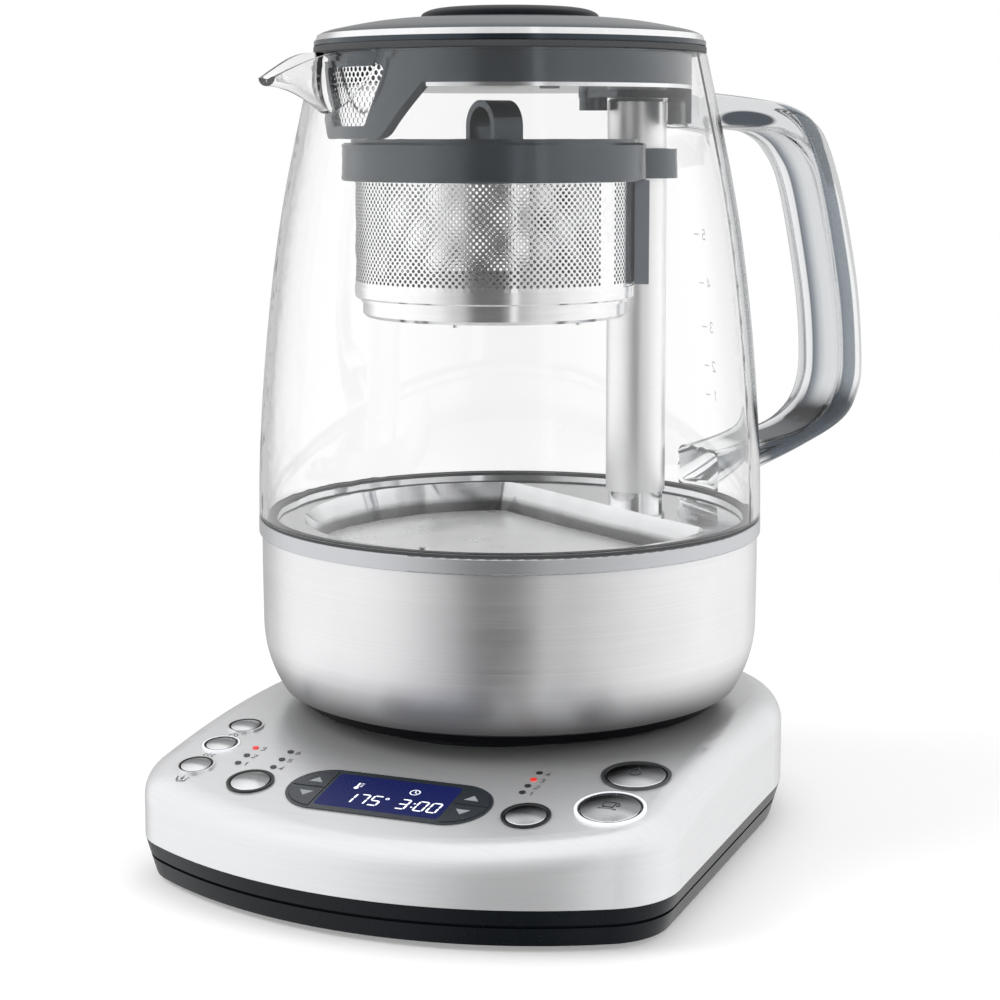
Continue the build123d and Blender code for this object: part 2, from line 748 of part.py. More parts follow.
with BuildPart() as temperature_sensor:
    with BuildSketch(jug_plane(well_floor - pan_wall - 4)):
        with Locations(sensor_place):
            Circle(sensor_radius)
    extrude(amount=pan_wall + 9)
    with BuildSketch(jug_plane(well_floor)):
        with Locations(sensor_place):
            Circle(sensor_radius + 1.1)
    extrude(amount=1.2)
save(temperature_sensor.part, "temperature_sensor")

# Geared motor under the shelf, its bore takes the screw
motor_low = 60.0
motor_bore = 80.0
screw_low = 82.0
with BuildPart() as lift_motor:
    with BuildSketch(jug_plane(motor_low, tube_place)):
        Circle(9)
    extrude(amount=motor_bore - motor_low - 4)
    with BuildSketch(jug_plane(motor_bore - 4, tube_place)):
        Circle(11.5)
    extrude(amount=shelf - pan_wall - motor_bore + 4)
    with BuildSketch(jug_plane(motor_bore, tube_place)):
        Circle(screw_radius + fit)
    extrude(amount=shelf - motor_bore, mode=Mode.SUBTRACT)
save(lift_motor.part, "lift_motor")

# Socket of the tube on the shelf
socket_top = 107.0
tube_inner = tube_radius - tube_wall
with BuildPart() as post_socket:
    with BuildSketch(jug_plane(shelf, tube_place)):
        Circle(tube_radius - 0.9)
    extrude(amount=socket_top - shelf)
    with BuildSketch(jug_plane(socket_top, tube_place)):
        Circle(tube_inner)
    extrude(amount=5)
    with BuildSketch(jug_plane(shelf, tube_place)):
        Circle(screw_radius + 0.3)
    extrude(amount=socket_top + 5 - shelf, mode=Mode.SUBTRACT)
save(post_socket.part, "post_socket")

# Closed tube, its top carries the screw's pivot
pivot_radius = 2.0
pivot_low, pivot_high = tube_top - 4.0, tube_top - 1.5
with BuildPart() as post_tube:
    with BuildSketch(tube_plane):
        with BuildLine():
            Polyline((tube_inner, socket_top), (tube_radius, socket_top), (tube_radius, tube_top - 1),
                     (tube_radius - 1, tube_top), (0, tube_top), (0, pivot_high),
                     (pivot_radius + fit, pivot_high), (pivot_radius + fit, pivot_low), (tube_inner, pivot_low),
                     (tube_inner, socket_top))
        make_face()
    revolve(axis=tube_axis)
save(post_tube.part, "post_tube")

# Screw with its flatted foot in the motor
with BuildPart() as lead_screw:
    with BuildSketch(tube_plane):
        with BuildLine():
            Polyline((0, screw_low), (screw_radius, screw_low), (screw_radius, pivot_low - 0.2),
                     (pivot_radius, pivot_low - 0.2), (pivot_radius, pivot_high - 0.3), (0, pivot_high - 0.3),
                     (0, screw_low))
        make_face()
    revolve(axis=tube_axis)
    with BuildSketch(jug_plane(screw_low, tube_place)):
        with Locations((screw_radius + 2.2, 0)):
            Rectangle(2 * screw_radius, 2 * screw_radius)
    extrude(amount=8, mode=Mode.SUBTRACT)
save(lead_screw.part, "lead_screw")

# Nut and magnets inside the tube
with BuildPart() as magnet_carrier:
    with BuildSketch(tube_plane):
        with BuildLine():
            Polyline((screw_radius + fit, carrier_low), (tube_inner - fit, carrier_low),
                     (tube_inner - fit, carrier_high), (screw_radius + fit, carrier_high),
                     (screw_radius + fit, carrier_low))
        make_face()
    revolve(axis=tube_axis)
save(magnet_carrier.part, "magnet_carrier")

# Basket collar with the open clip that runs on the tube
clip_radius = 14.0
clip_low = collar_low + 0.3
clip_high = clip_low + 10
lid_ledge = collar_high - 3.4
lid_bore = 46.5
with BuildPart() as basket_collar:
    with BuildSketch(basket_plane):
        with BuildLine():
            Polyline((mesh_radius, collar_low), (collar_radius - 0.6, collar_low),
                     (collar_radius, collar_low + 0.6), (collar_radius, collar_high - 0.8),
                     (collar_radius - 0.8, collar_high), (lid_bore, collar_high), (lid_bore, lid_ledge),
                     (mesh_radius, lid_ledge), (mesh_radius, collar_low))
        make_face()
    revolve(axis=basket_axis)
    with BuildSketch(jug_plane(clip_low, tube_place)):
        Circle(clip_radius)
    extrude(amount=clip_high - clip_low)
    with BuildSketch(jug_plane(clip_low, -basket_place)):
        Circle(mesh_radius)
    extrude(amount=lid_ledge - clip_low, mode=Mode.SUBTRACT)
    with BuildSketch(jug_plane(lid_ledge, -basket_place)):
        Circle(lid_bore)
    extrude(amount=collar_high - lid_ledge, mode=Mode.SUBTRACT)
    with BuildSketch(jug_plane(collar_low - 1, tube_place)):
        Circle(tube_radius + fit)
    extrude(amount=collar_high - collar_low + 2, mode=Mode.SUBTRACT)
    with BuildSketch(jug_plane(clip_low - 1, tube_place + clip_radius)):
        Rectangle(2 * clip_radius * 0.55, 2 * clip_radius * 0.6)
    extrude(amount=clip_high - clip_low + 2, mode=Mode.SUBTRACT)
save(basket_collar.part, "basket_collar")

# Cradle behind the basket, cut back round the tube
cradle_low = mesh_low + 0.2
cradle_half = 42.0
with BuildPart() as basket_cradle:
    with BuildSketch(side_plane(-basket_place, cradle_half)):
        with BuildLine():
            Polyline((cradle_inner, cradle_low), (cradle_radius, cradle_low), (cradle_radius, collar_low),
                     (cradle_inner, collar_low), (cradle_inner, cradle_low))
        make_face()
    revolve(axis=basket_axis, revolution_arc=2 * cradle_half)
    with BuildSketch(jug_plane(cradle_low - 1, tube_place)):
        Circle(tube_radius + 0.65)
    extrude(amount=collar_low - cradle_low + 2, mode=Mode.SUBTRACT)
save(basket_cradle.part, "basket_cradle")

# Basket: perforated wall, bottom ring and cap
with BuildPart() as basket_mesh:
    with BuildSketch(jug_plane(mesh_low, -basket_place)):
        Circle(mesh_radius)
        Circle(mesh_radius - mesh_wall, mode=Mode.SUBTRACT)
    extrude(amount=lid_ledge - mesh_low)
save(basket_mesh.part, "basket_mesh")

ring_inner = 43.5
with BuildPart() as basket_ring:
    with BuildSketch(basket_plane):
        with BuildLine():
            Polyline((ring_inner, ring_low), (ring_radius - 0.5, ring_low), (ring_radius, ring_low + 0.5),
                     (ring_radius, mesh_low), (ring_inner, mesh_low), (ring_inner, ring_low))
        make_face()
    revolve(axis=basket_axis)
save(basket_ring.part, "basket_ring")

cap_neck = ring_low - 1.2
cap_wall = 1.4
with BuildPart() as basket_cap:
    with BuildSketch(basket_plane):
        with BuildLine():
            Polyline((0, cap_low), (cap_radius - 1, cap_low), (cap_radius, cap_low + 1), (cap_radius, cap_neck),
                     (ring_inner, cap_neck), (ring_inner, mesh_low - 1), (ring_inner - cap_wall, mesh_low - 1),
                     (ring_inner - cap_wall, cap_neck), (cap_radius - cap_wall, cap_neck - 0.8),
                     (cap_radius - cap_wall, cap_low + cap_wall), (0, cap_low + cap_wall), (0, cap_low))
        make_face()
    revolve(axis=basket_axis)
    with BuildSketch(jug_plane(cap_low, -basket_place)):
        with PolarLocations(34, 5, 18):
            Circle(1.6)
    extrude(amount=-1.4)
save(basket_cap.part, "basket_cap")

# Basket lid with its loop
loop_half = 8.5
loop_strap = 11.0
loop_thick = 2.2
disc_top = collar_high + 1.1
loop_top = disc_top + 12.5
with BuildPart() as basket_lid:
    with BuildSketch(jug_plane(lid_ledge + 0.1, -basket_place)):
        Circle(lid_bore - fit)
    extrude(amount=disc_top - lid_ledge - 0.1)
    with BuildSketch(spout_plane(basket_place)):
        with Locations((0, loop_top - loop_half)):
            Circle(loop_half)
        with Locations((0, (loop_top - loop_half + disc_top) / 2)):
            Rectangle(2 * loop_half, loop_top - loop_half - disc_top)
        with Locations((0, loop_top - loop_half)):
            Circle(loop_half - loop_thick, mode=Mode.SUBTRACT)
        with Locations((0, (loop_top - loop_half + disc_top) / 2)):
            Rectangle(2 * (loop_half - loop_thick), loop_top - loop_half - disc_top, mode=Mode.SUBTRACT)
    extrude(amount=loop_strap / 2, both=True)
save(basket_lid.part, "basket_lid")

# Lid skirt: plate with flange, wall with three grooves, cut out for the filter's frame
frame_half = 31.0
frame_low = skirt_low - 17.0
frame_high = skirt_low + 7.5
shoulder_drop = 7.3
frame_shoulder = frame_high - shoulder_drop
frame_foot = 16.5
plate_low = flange_low - 0.2
grooves = [skirt_low + rise for rise in (3.0, 6.0, 9.0)]
with BuildPart() as lid_skirt:
    with BuildSketch(Plane.XZ):
        with BuildLine():
            Polyline((0, flange_low), (skirt_inner, flange_low), (skirt_inner, skirt_low),
                     (skirt_radius, skirt_low), (skirt_radius, plate_low), (seal_radius - 1.3, plate_low),
                     (seal_radius - 1.3, flange_low), (seal_radius - 0.2, flange_low),
                     (seal_radius - 0.2, flange_high), (0, flange_high), (0, flange_low))
        make_face()
    revolve(axis=Axis.Z)
    for height in grooves:
        with BuildSketch(Plane.XY.offset(height)):
            Circle(skirt_radius + 1)
            Circle(skirt_radius - 0.5, mode=Mode.SUBTRACT)
        extrude(amount=0.6, mode=Mode.SUBTRACT)
    with BuildSketch(spout_plane(0)):
        with Locations((0, (skirt_low + frame_high) / 2)):
            Rectangle(2 * frame_half, frame_high - skirt_low)
    extrude(amount=skirt_radius + 2, mode=Mode.SUBTRACT)
save(lid_skirt.part, "lid_skirt")

# Seal on the glass rim
with BuildPart() as lid_seal:
    with BuildSketch(Plane.XZ) as seal_section:
        with BuildLine():
            Polyline((skirt_radius, glass_rim + 0.05), (seal_radius, glass_rim + 0.05), (seal_radius, plate_low),
                     (skirt_radius, plate_low), (skirt_radius, glass_rim + 0.05))
        make_face()
        fillet(seal_section.vertices().group_by(Axis.X)[-1], 0.5)
    revolve(axis=Axis.Z)
save(lid_seal.part, "lid_seal")

with BuildPart() as lid_ring:
    with BuildSketch(Plane.XZ):
        with BuildLine():
            Polyline((seal_radius - 5.5, flange_high), (seal_radius - 0.6, flange_high),
                     (seal_radius - 1.3, lid_ring_top), (seal_radius - 5.5, lid_ring_top),
                     (seal_radius - 5.5, flange_high))
        make_face()
    revolve(axis=Axis.Z)
save(lid_ring.part, "lid_ring")

# Dome of the lid
dome_wall = 1.8
knob_spigot = 8.0
with BuildPart() as lid_cap:
    with BuildSketch(Plane.XZ):
        with BuildLine():
            Polyline((knob_spigot, dome_top), (knob_radius + 1, dome_top))
            Spline((knob_radius + 1, dome_top), (seal_radius - 17.5, dome_top - 0.26 * dome_rise),
                   (seal_radius - 7.5, dome_top - 0.62 * dome_rise), (seal_radius - 1.5, lid_ring_top),
                   tangents=((1, 0), (1, -0.7)))
            Polyline((seal_radius - 1.5, lid_ring_top), (seal_radius - 5.5 - dome_wall, lid_ring_top),
                     (knob_radius, dome_top - dome_wall), (knob_spigot, dome_top - dome_wall),
                     (knob_spigot, dome_top))
        make_face()
    revolve(axis=Axis.Z)
save(lid_cap.part, "lid_cap")

# Flat knob, screwed down through the dome
with BuildPart() as lid_knob:
    with BuildSketch(Plane.XZ):
        with BuildLine():
            Polyline((0, flange_high), (knob_spigot, flange_high), (knob_spigot, dome_top),
                     (knob_radius, dome_top), (knob_radius - 0.2, dome_top + 0.8))
            Spline((knob_radius - 0.2, dome_top + 0.8), (knob_radius - 1.4, knob_top - 1.5),
                   (knob_radius - 14, knob_top - 0.3), (0, knob_top),
                   tangents=((-0.2, 1), (-1, 0)))
            Line((0, knob_top), (0, flange_high))
        make_face()
    revolve(axis=Axis.Z)
save(lid_knob.part, "lid_knob")

# Plate under the skirt
under_low = skirt_low - 1.2
with BuildPart() as lid_underplate:
    with BuildSketch(Plane.XY.offset(under_low)):
        Circle(skirt_radius)
    extrude(amount=skirt_low - under_low)
    with BuildSketch(spout_plane(0)):
        with Locations((0, skirt_low)):
            Rectangle(2 * frame_half, 4)
    extrude(amount=skirt_radius + 2, mode=Mode.SUBTRACT)
    with BuildSketch(jug_plane(under_low)):
        Circle(skirt_inner)
    extrude(amount=skirt_low - under_low)
save(lid_underplate.part, "lid_underplate")

# Lid magnet
with BuildPart() as lid_magnet:
    with BuildSketch(jug_plane(under_low)):
        with Locations((49, -18)):
            Circle(3)
    extrude(amount=-0.6)
save(lid_magnet.part, "lid_magnet")

# Bracket over the tube, with its peg and the curved wall beside the tube
peg_place = (-5.0, 37.0)
wall_low = under_low - 10.8
wall_start, wall_arc = 12.0, 33.0
with BuildPart() as lid_bracket:
    with BuildSketch(jug_plane(under_low)):
        Circle(skirt_radius)
        with Locations((3, 45.5)):
            Rectangle(22, 25, mode=Mode.INTERSECT)
    extrude(amount=-(under_low - tube_top - 0.2))
    with BuildSketch(jug_plane(under_low)):
        with Locations(peg_place):
            Circle(4.75)
    extrude(amount=-6.3)
    with BuildSketch(side_plane(0, wall_start + wall_arc)):
        with BuildLine():
            Polyline((skirt_inner + 0.2, wall_low), (skirt_radius, wall_low), (skirt_radius, under_low),
                     (skirt_inner + 0.2, under_low), (skirt_inner + 0.2, wall_low))
        make_face()
    revolve(axis=Axis.Z, revolution_arc=wall_arc)
save(lid_bracket.part, "lid_bracket")


def frame_ring(inner, outer):
    """Closed wall of revolution that the filter's outlines are cut from."""
    with BuildPart() as wall:
        with BuildSketch(Plane.XY.offset(frame_low - 1)):
            Circle(outer)
            Circle(inner, mode=Mode.SUBTRACT)
        extrude(amount=frame_high - frame_low + 1)
    return wall.part


window_foot, window_half = 9.9, 19.5
window_low = frame_low + 3.9
window_high = frame_high - 2.0


def window_outline():
    """Outline of the filter's window, seen along the spout."""
    with BuildSketch() as outline:
        with BuildLine():
            Polyline((-window_foot, window_low), (window_foot, window_low), (window_half, window_high),
                     (-window_half, window_high), (-window_foot, window_low))
        make_face()
        fillet(outline.vertices(), 2)
    return outline.sketch


# Frame and mesh of the spout filter
with BuildPart() as filter_frame:
    with BuildSketch(spout_plane(0)) as frame_sketch:
        with BuildLine():
            Polyline((-frame_half, frame_high), (frame_half, frame_high), (frame_half, frame_shoulder),
                     (frame_foot, frame_low), (-frame_foot, frame_low), (-frame_half, frame_shoulder),
                     (-frame_half, frame_high))
        make_face()
        fillet(frame_sketch.vertices().group_by(Axis.Y)[0], 6)
    extrude(amount=frame_radius + 2)
    add(frame_ring(skirt_inner, frame_radius), mode=Mode.INTERSECT)
    with BuildSketch(spout_plane(0)):
        add(window_outline())
    extrude(amount=frame_radius + 2, mode=Mode.SUBTRACT)
save(filter_frame.part, "filter_frame")

with BuildPart() as filter_mesh:
    with BuildSketch(spout_plane(0)):
        add(window_outline())
    extrude(amount=frame_radius + 2)
    add(frame_ring(frame_inner + 0.8, frame_inner + 1.2), mode=Mode.INTERSECT)
save(filter_mesh.part, "filter_mesh")
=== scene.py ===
import json
from math import asin, atan2, cos, pi, radians, sin, sqrt

import bpy
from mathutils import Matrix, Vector


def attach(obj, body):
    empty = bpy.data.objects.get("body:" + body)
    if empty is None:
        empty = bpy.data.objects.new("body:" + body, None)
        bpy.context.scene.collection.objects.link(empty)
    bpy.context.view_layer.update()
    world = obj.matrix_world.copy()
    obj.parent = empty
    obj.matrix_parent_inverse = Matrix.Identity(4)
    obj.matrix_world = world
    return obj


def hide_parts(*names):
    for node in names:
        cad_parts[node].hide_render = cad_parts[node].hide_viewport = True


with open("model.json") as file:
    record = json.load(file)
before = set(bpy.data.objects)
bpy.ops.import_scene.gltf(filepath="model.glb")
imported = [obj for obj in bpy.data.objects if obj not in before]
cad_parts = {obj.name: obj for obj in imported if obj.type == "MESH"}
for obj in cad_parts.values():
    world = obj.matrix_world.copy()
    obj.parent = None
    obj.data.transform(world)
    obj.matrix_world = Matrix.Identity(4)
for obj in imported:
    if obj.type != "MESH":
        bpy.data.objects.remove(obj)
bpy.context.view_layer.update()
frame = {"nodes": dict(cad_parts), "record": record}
nodes = frame["nodes"]
MM = 0.001

# Sizes in millimetres, as in the CAD: x to the right, and a place on the base is (x, distance in front of the
# jug's axis)
JUG_TURN = radians(35)  # the handle's side of the jug, from the back toward the right
PLATEAU, SLOPE_START, SLOPE_RADIUS = 42.0, 15.0, 467.0  # the base's top: height, start and radius of its slope
PANEL = (0.5, 97.5)
SMALL_X, SMALL_ROWS, SMALL_CAP = -66.5, (61.5, 77.4, 93.1), 4.7
SELECT_PLACES, SELECT_CAP = ((-44.5, 98.9), (44.5, 98.9)), 6.0
LARGE_UPPER, LARGE_LOWER, LARGE_CAP = (66.5, 65.5), (66.5, 88.8), 8.85
CAP_RISE, CAP_BULGE = 0.5, 0.14
TEA_COLUMNS, TEA_ROWS = (-54.6, -42.4), (76.8, 82.6, 88.2)
STRENGTH_COLUMN, STRENGTH_ROWS = 38.0, (71.2, 76.0, 80.7, 85.2)
BOWL_FOOT, BOWL_UPRIGHT = 48.0, 68.0
PAN_LOW, PAN_HIGH, WELL_FLOOR_TOP = 93.3, 104.3, 95.0
GLASS_LOW, GLASS_HIGH = 105.0, 253.8
BASKET_OUT, BASKET_RADIUS, BASKET_WALL = 6.0, 45.0, 0.5
HANDLE_HALF, HANDLE_EDGE = 12.0, 3.0
UPWARD = 0.9  # least Z of the normal of a level face

# Lifts that keep a flat mark just clear of what it is printed on
SLOPE_INK, DISPLAY_INK, KEY_INK, CAP_INK, GLASS_INK = 0.03, 0.33, 0.53, 0.12, 0.06


# ---------------------------------------------------------------- camera
LENS, SENSOR, FRAME_SHIFT = 78.05, 36, -0.12
CAMERA_PLACE, CAMERA_TILT, CAMERA_TURN = (0.2630, -0.6595, 0.2275), 6.41, 22

camera_data = bpy.data.cameras.new("camera")
camera_data.lens = LENS
camera_data.sensor_width = SENSOR
camera_data.shift_y = FRAME_SHIFT
camera = bpy.data.objects.new("camera", camera_data)
camera.location = CAMERA_PLACE
camera.rotation_euler = (radians(90 - CAMERA_TILT), 0, radians(CAMERA_TURN))
bpy.context.scene.collection.objects.link(camera)
bpy.context.scene.camera = camera


# ---------------------------------------------------------------- node helpers
class Tree:
    """Short words for building a node tree, which starts empty unless keep is set."""

    def __init__(self, holder, keep=False):
        self.tree = holder.node_tree
        if not keep:
            self.tree.nodes.clear()

    def node(self, kind, links=None, sockets=None, **settings):
        made = self.tree.nodes.new(kind)
        for name, value in settings.items():
            setattr(made, name, value)
        for name, value in (sockets or {}).items():
            made.inputs[name].default_value = value
        for name, source in (links or {}).items():
            self.tree.links.new(source, made.inputs[name])
        return made

    def join(self, source, target):
        self.tree.links.new(source, target)

    def ramp(self, source, stops, smooth=True):
        """A colour ramp of (place, level or colour) stops."""
        made = self.node("ShaderNodeValToRGB", {"Fac": source})
        made.color_ramp.interpolation = "EASE" if smooth else "LINEAR"
        points = made.color_ramp.elements
        while len(points) > 1:
            points.remove(points[-1])
        for number, (place, value) in enumerate(stops):
            point = points[0] if number == 0 else points.new(place)
            point.position = place
            point.color = (*value, 1) if isinstance(value, tuple) else (value, value, value, 1)
        return made.outputs["Color"]

    def span(self, source, low, high, start=0.0, end=1.0):
        """Carries the values from start to end over to low to high."""
        made = self.node("ShaderNodeMapRange", {"Value": source},
                         {"From Min": start, "From Max": end, "To Min": low, "To Max": high})
        return made.outputs["Result"]

    def part_of(self, space, axis):
        """One axis of the texture coordinates or of the object's own normal."""
        place = self.node("ShaderNodeTexCoord").outputs[space]
        return self.node("ShaderNodeSeparateXYZ", {"Vector": place}).outputs[axis]

    def maths(self, kind, first, second=None):
        made = self.node("ShaderNodeMath", operation=kind)
        for number, value in enumerate((first, second)):
            if value is None:
                continue
            if isinstance(value, (int, float)):
                made.inputs[number].default_value = value
            else:
                self.join(value, made.inputs[number])
        return made.outputs[0]


def rgba(colour, factor=1.0):
    """A colour or a grey level, times a factor, with full alpha."""
    if isinstance(colour, (int, float)):
        colour = (colour,) * 3
    return tuple(min(channel * factor, 1) for channel in colour) + (1,)


FINE_SHARE = 0.65  # of the fine noise in a finish's variation, beside the broad noise
NOISE_LOW, NOISE_HIGH = 0.3, 0.7


def surface(name, colour, rough, metal=0.0, grain=(300, 300, 300), detail=3.0, rough_spread=0.05, shade=0.04,
            bump=0.15, depth=0.05, blotch=60, side_grain=None, **sockets):
    """Procedural finish: fine grain for bump and roughness, broad blotches for colour and wear.

    grain and blotch are noise scales, and side_grain is the grain of upright faces, where it differs from that of
    level ones. rough_spread and shade say how far roughness and colour vary, and depth is in millimetres."""
    made = bpy.data.materials.new(name)
    made.use_nodes = True
    tree = Tree(made)
    place = tree.node("ShaderNodeTexCoord").outputs["Object"]

    def fine_noise(scale):
        stretched = tree.node("ShaderNodeMapping", {"Vector": place}, {"Scale": scale})
        return tree.node("ShaderNodeTexNoise", {"Vector": stretched.outputs["Vector"]},
                         {"Scale": 1.0, "Detail": detail, "Roughness": 0.6}).outputs["Fac"]

    fine = fine_noise(grain)
    if side_grain:
        level = tree.span(tree.part_of("Normal", "Z"), 0.0, 1.0, 0.45, 0.75)
        fine = tree.maths("ADD", tree.maths("MULTIPLY", level, fine),
                          tree.maths("MULTIPLY", tree.maths("SUBTRACT", 1.0, level), fine_noise(side_grain)))
    broad = tree.node("ShaderNodeTexNoise", {"Vector": place}, {"Scale": blotch, "Detail": 2.0})
    both = tree.maths("ADD", tree.maths("MULTIPLY", fine, FINE_SHARE),
                      tree.maths("MULTIPLY", broad.outputs["Fac"], 1 - FINE_SHARE))
    shader = tree.node("ShaderNodeBsdfPrincipled", sockets={"Metallic": metal})
    tree.join(tree.span(both, max(rough - rough_spread, 0.0), rough + rough_spread, NOISE_LOW, NOISE_HIGH),
              shader.inputs["Roughness"])
    tone = tree.ramp(both, [(NOISE_LOW, rgba(colour, 1 - shade)[:3]), (NOISE_HIGH, rgba(colour, 1 + shade)[:3])])
    tree.join(tone, shader.inputs["Base Color"])
    relief = tree.node("ShaderNodeBump", {"Height": fine},
                       {"Strength": bump, "Distance": depth * MM})
    tree.join(relief.outputs["Normal"], shader.inputs["Normal"])
    for socket, value in sockets.items():
        shader.inputs[socket.replace("_", " ")].default_value = value
    tree.node("ShaderNodeOutputMaterial", {"Surface": shader.outputs["BSDF"]})
    made["shader"] = shader.name
    return made


def shaded(material, place, stops, smooth):
    """Multiplies a finish's colour by a ramp; place(tree) gives the value that the ramp reads."""
    tree = Tree(material, keep=True)
    base = tree.tree.nodes[material["shader"]].inputs["Base Color"]
    tone = tree.node("ShaderNodeMix",
                     {"A": base.links[0].from_socket, "B": tree.ramp(place(tree), stops, smooth)},
                     {"Factor": 1.0}, data_type="RGBA", blend_type="MULTIPLY")
    tree.join(tone.outputs["Result"], base)
    return material


def painted_dome_reflection(material):
    """Paints a reflection into a crowned metal cap's colour: pale toward the front and dark toward the back, as a
    polished dome reflects.
    """
    def lean(tree):
        return tree.span(tree.part_of("Normal", "Y"), 0.0, 1.0, -0.5, 0.2)

    stops = [(0.05, 1.0), (0.30, 0.95), (0.48, 0.42), (0.70, 0.30), (0.85, 0.75), (1.0, 0.9)]
    return shaded(material, lean, stops, smooth=True)


def painted_shade_by_height(material, low, high, stops):
    """Paints shade into a finish's colour by height, from low to high in millimetres."""
    def height(tree):
        return tree.span(tree.part_of("Object", "Z"), 0.0, 1.0, low * MM, high * MM)

    return shaded(material, height, stops, smooth=False)


def turned(material, amount, spin):
    """Gives a metal the stretched highlights of a part that was brushed on a lathe."""
    tree = material.node_tree
    shader = tree.nodes[material["shader"]]
    shader.inputs["Anisotropic"].default_value = amount
    shader.inputs["Anisotropic Rotation"].default_value = spin
    tangent = tree.nodes.new("ShaderNodeTangent")
    tangent.direction_type = "RADIAL"
    tangent.axis = "Z"
    tree.links.new(tangent.outputs["Tangent"], shader.inputs["Tangent"])
    return material


def shade_of(level, power=4.4, blue_share=2.6):
    """Base colour that lets a clear part look as grey as a level from 0 to 255, a little blue where it is dark.

    A wall passes only the root of its colour, so the power is twice that of the display."""
    plain = (level / 255) ** power
    blue = 1 + blue_share * (1 - level / 255) ** 2
    return plain, plain * sqrt(blue), plain * blue


def handle_painted_shades(tree, tone):
    """Painted shades for the dark surroundings that a clear handle refracts and reflects: grey bands along its
    grip, around its upper corner and its lower arm.
    """
    # Each runs from 0 to 1: from the grip's inner to its outer face, from its far to its near side, and from the
    # upper to the lower end
    across, wide, run = [tree.node("ShaderNodeAttribute", attribute_name=name).outputs["Fac"]
                         for name in ("across", "wide", "run")]
    clear_tone = (1.0, 1.0, 1.0)
    arm_start, arm_end = 0.865, 0.91  # where the bands of the lower arm fade out

    def mixed(factor, below, above, blend="MIX"):
        made = tree.node("ShaderNodeMix", data_type="RGBA", blend_type=blend)
        if isinstance(factor, float):
            made.inputs["Factor"].default_value = factor
        else:
            tree.join(factor, made.inputs["Factor"])
        for socket, value in (("A", below), ("B", above)):
            if isinstance(value, tuple):
                made.inputs[socket].default_value = rgba(value)
            else:
                tree.join(value, made.inputs[socket])
        return made.outputs["Result"]

    # Inner face of the grip: white, then a sharp dark edge that fades to pale
    inner = tree.ramp(wide, [(0.02, shade_of(200)), (0.06, 1.0), (0.12, 1.0), (0.38, shade_of(232)),
                             (0.41, shade_of(92)), (0.50, shade_of(142)), (0.60, shade_of(192)),
                             (0.70, shade_of(214)), (0.95, shade_of(224))], smooth=False)
    # Near side of the grip: a grey band, which swings to the outer edge at the upper corner
    shift = tree.ramp(run, [(0.17, 0.85), (0.20, 0.66), (0.23, 0.50), (0.26, 0.26), (0.30, 0.06), (0.35, 0.0)],
                      smooth=False)
    band_place = tree.maths("SUBTRACT", across, shift)
    near = tree.ramp(band_place, [(0.0, shade_of(222)), (0.13, shade_of(222)), (0.17, shade_of(128)),
                                  (0.30, shade_of(140)), (0.60, shade_of(150)), (0.64, 1.0)], smooth=False)
    # Near side of the lower arm: dark, with a paler outer edge
    arm_near = tree.ramp(across, [(0.0, shade_of(60)), (0.55, shade_of(72)), (0.75, shade_of(96)),
                                  (0.90, shade_of(112)), (0.97, shade_of(190))], smooth=False)
    near = mixed(tree.ramp(run, [(0.655, 0.0), (0.70, 1.0), (arm_start, 1.0), (arm_end, 0.1)]), near, arm_near)
    # Dark ellipse on the near side of the upper arm
    reach = [tree.maths("MULTIPLY", tree.maths("SUBTRACT", value, middle), 1 / half)
             for value, middle, half in ((run, 0.142, 0.062), (across, 0.29, 0.30))]
    away = tree.maths("ADD", *[tree.maths("MULTIPLY", value, value) for value in reach])
    near = mixed(tree.ramp(away, [(0.6, 1.0), (1.0, 0.0)]), near, shade_of(66))
    # Top of the lower arm
    arm_top = tree.ramp(wide, [(0.0, 1.0), (0.30, shade_of(205)), (0.36, shade_of(58)), (0.8, shade_of(48))],
                        smooth=False)
    inner = mixed(tree.ramp(run, [(0.68, 0.0), (0.73, 1.0), (arm_start, 1.0), (arm_end, 0.1)]), inner, arm_top)
    inner = mixed(tree.ramp(run, [(arm_start, 0.0), (arm_end, 1.0)]), inner, clear_tone)
    inner = mixed(tree.ramp(run, [(0.13, 0.0), (0.2, 1.0)]), shade_of(220), inner)
    on_near = tree.ramp(wide, [(0.93, 0.0), (0.975, 1.0)])
    on_inner = tree.ramp(across, [(0.04, 1.0), (0.14, 0.0)])
    return mixed(1.0, tone, mixed(on_near, mixed(on_inner, clear_tone, inner), near), "MULTIPLY")


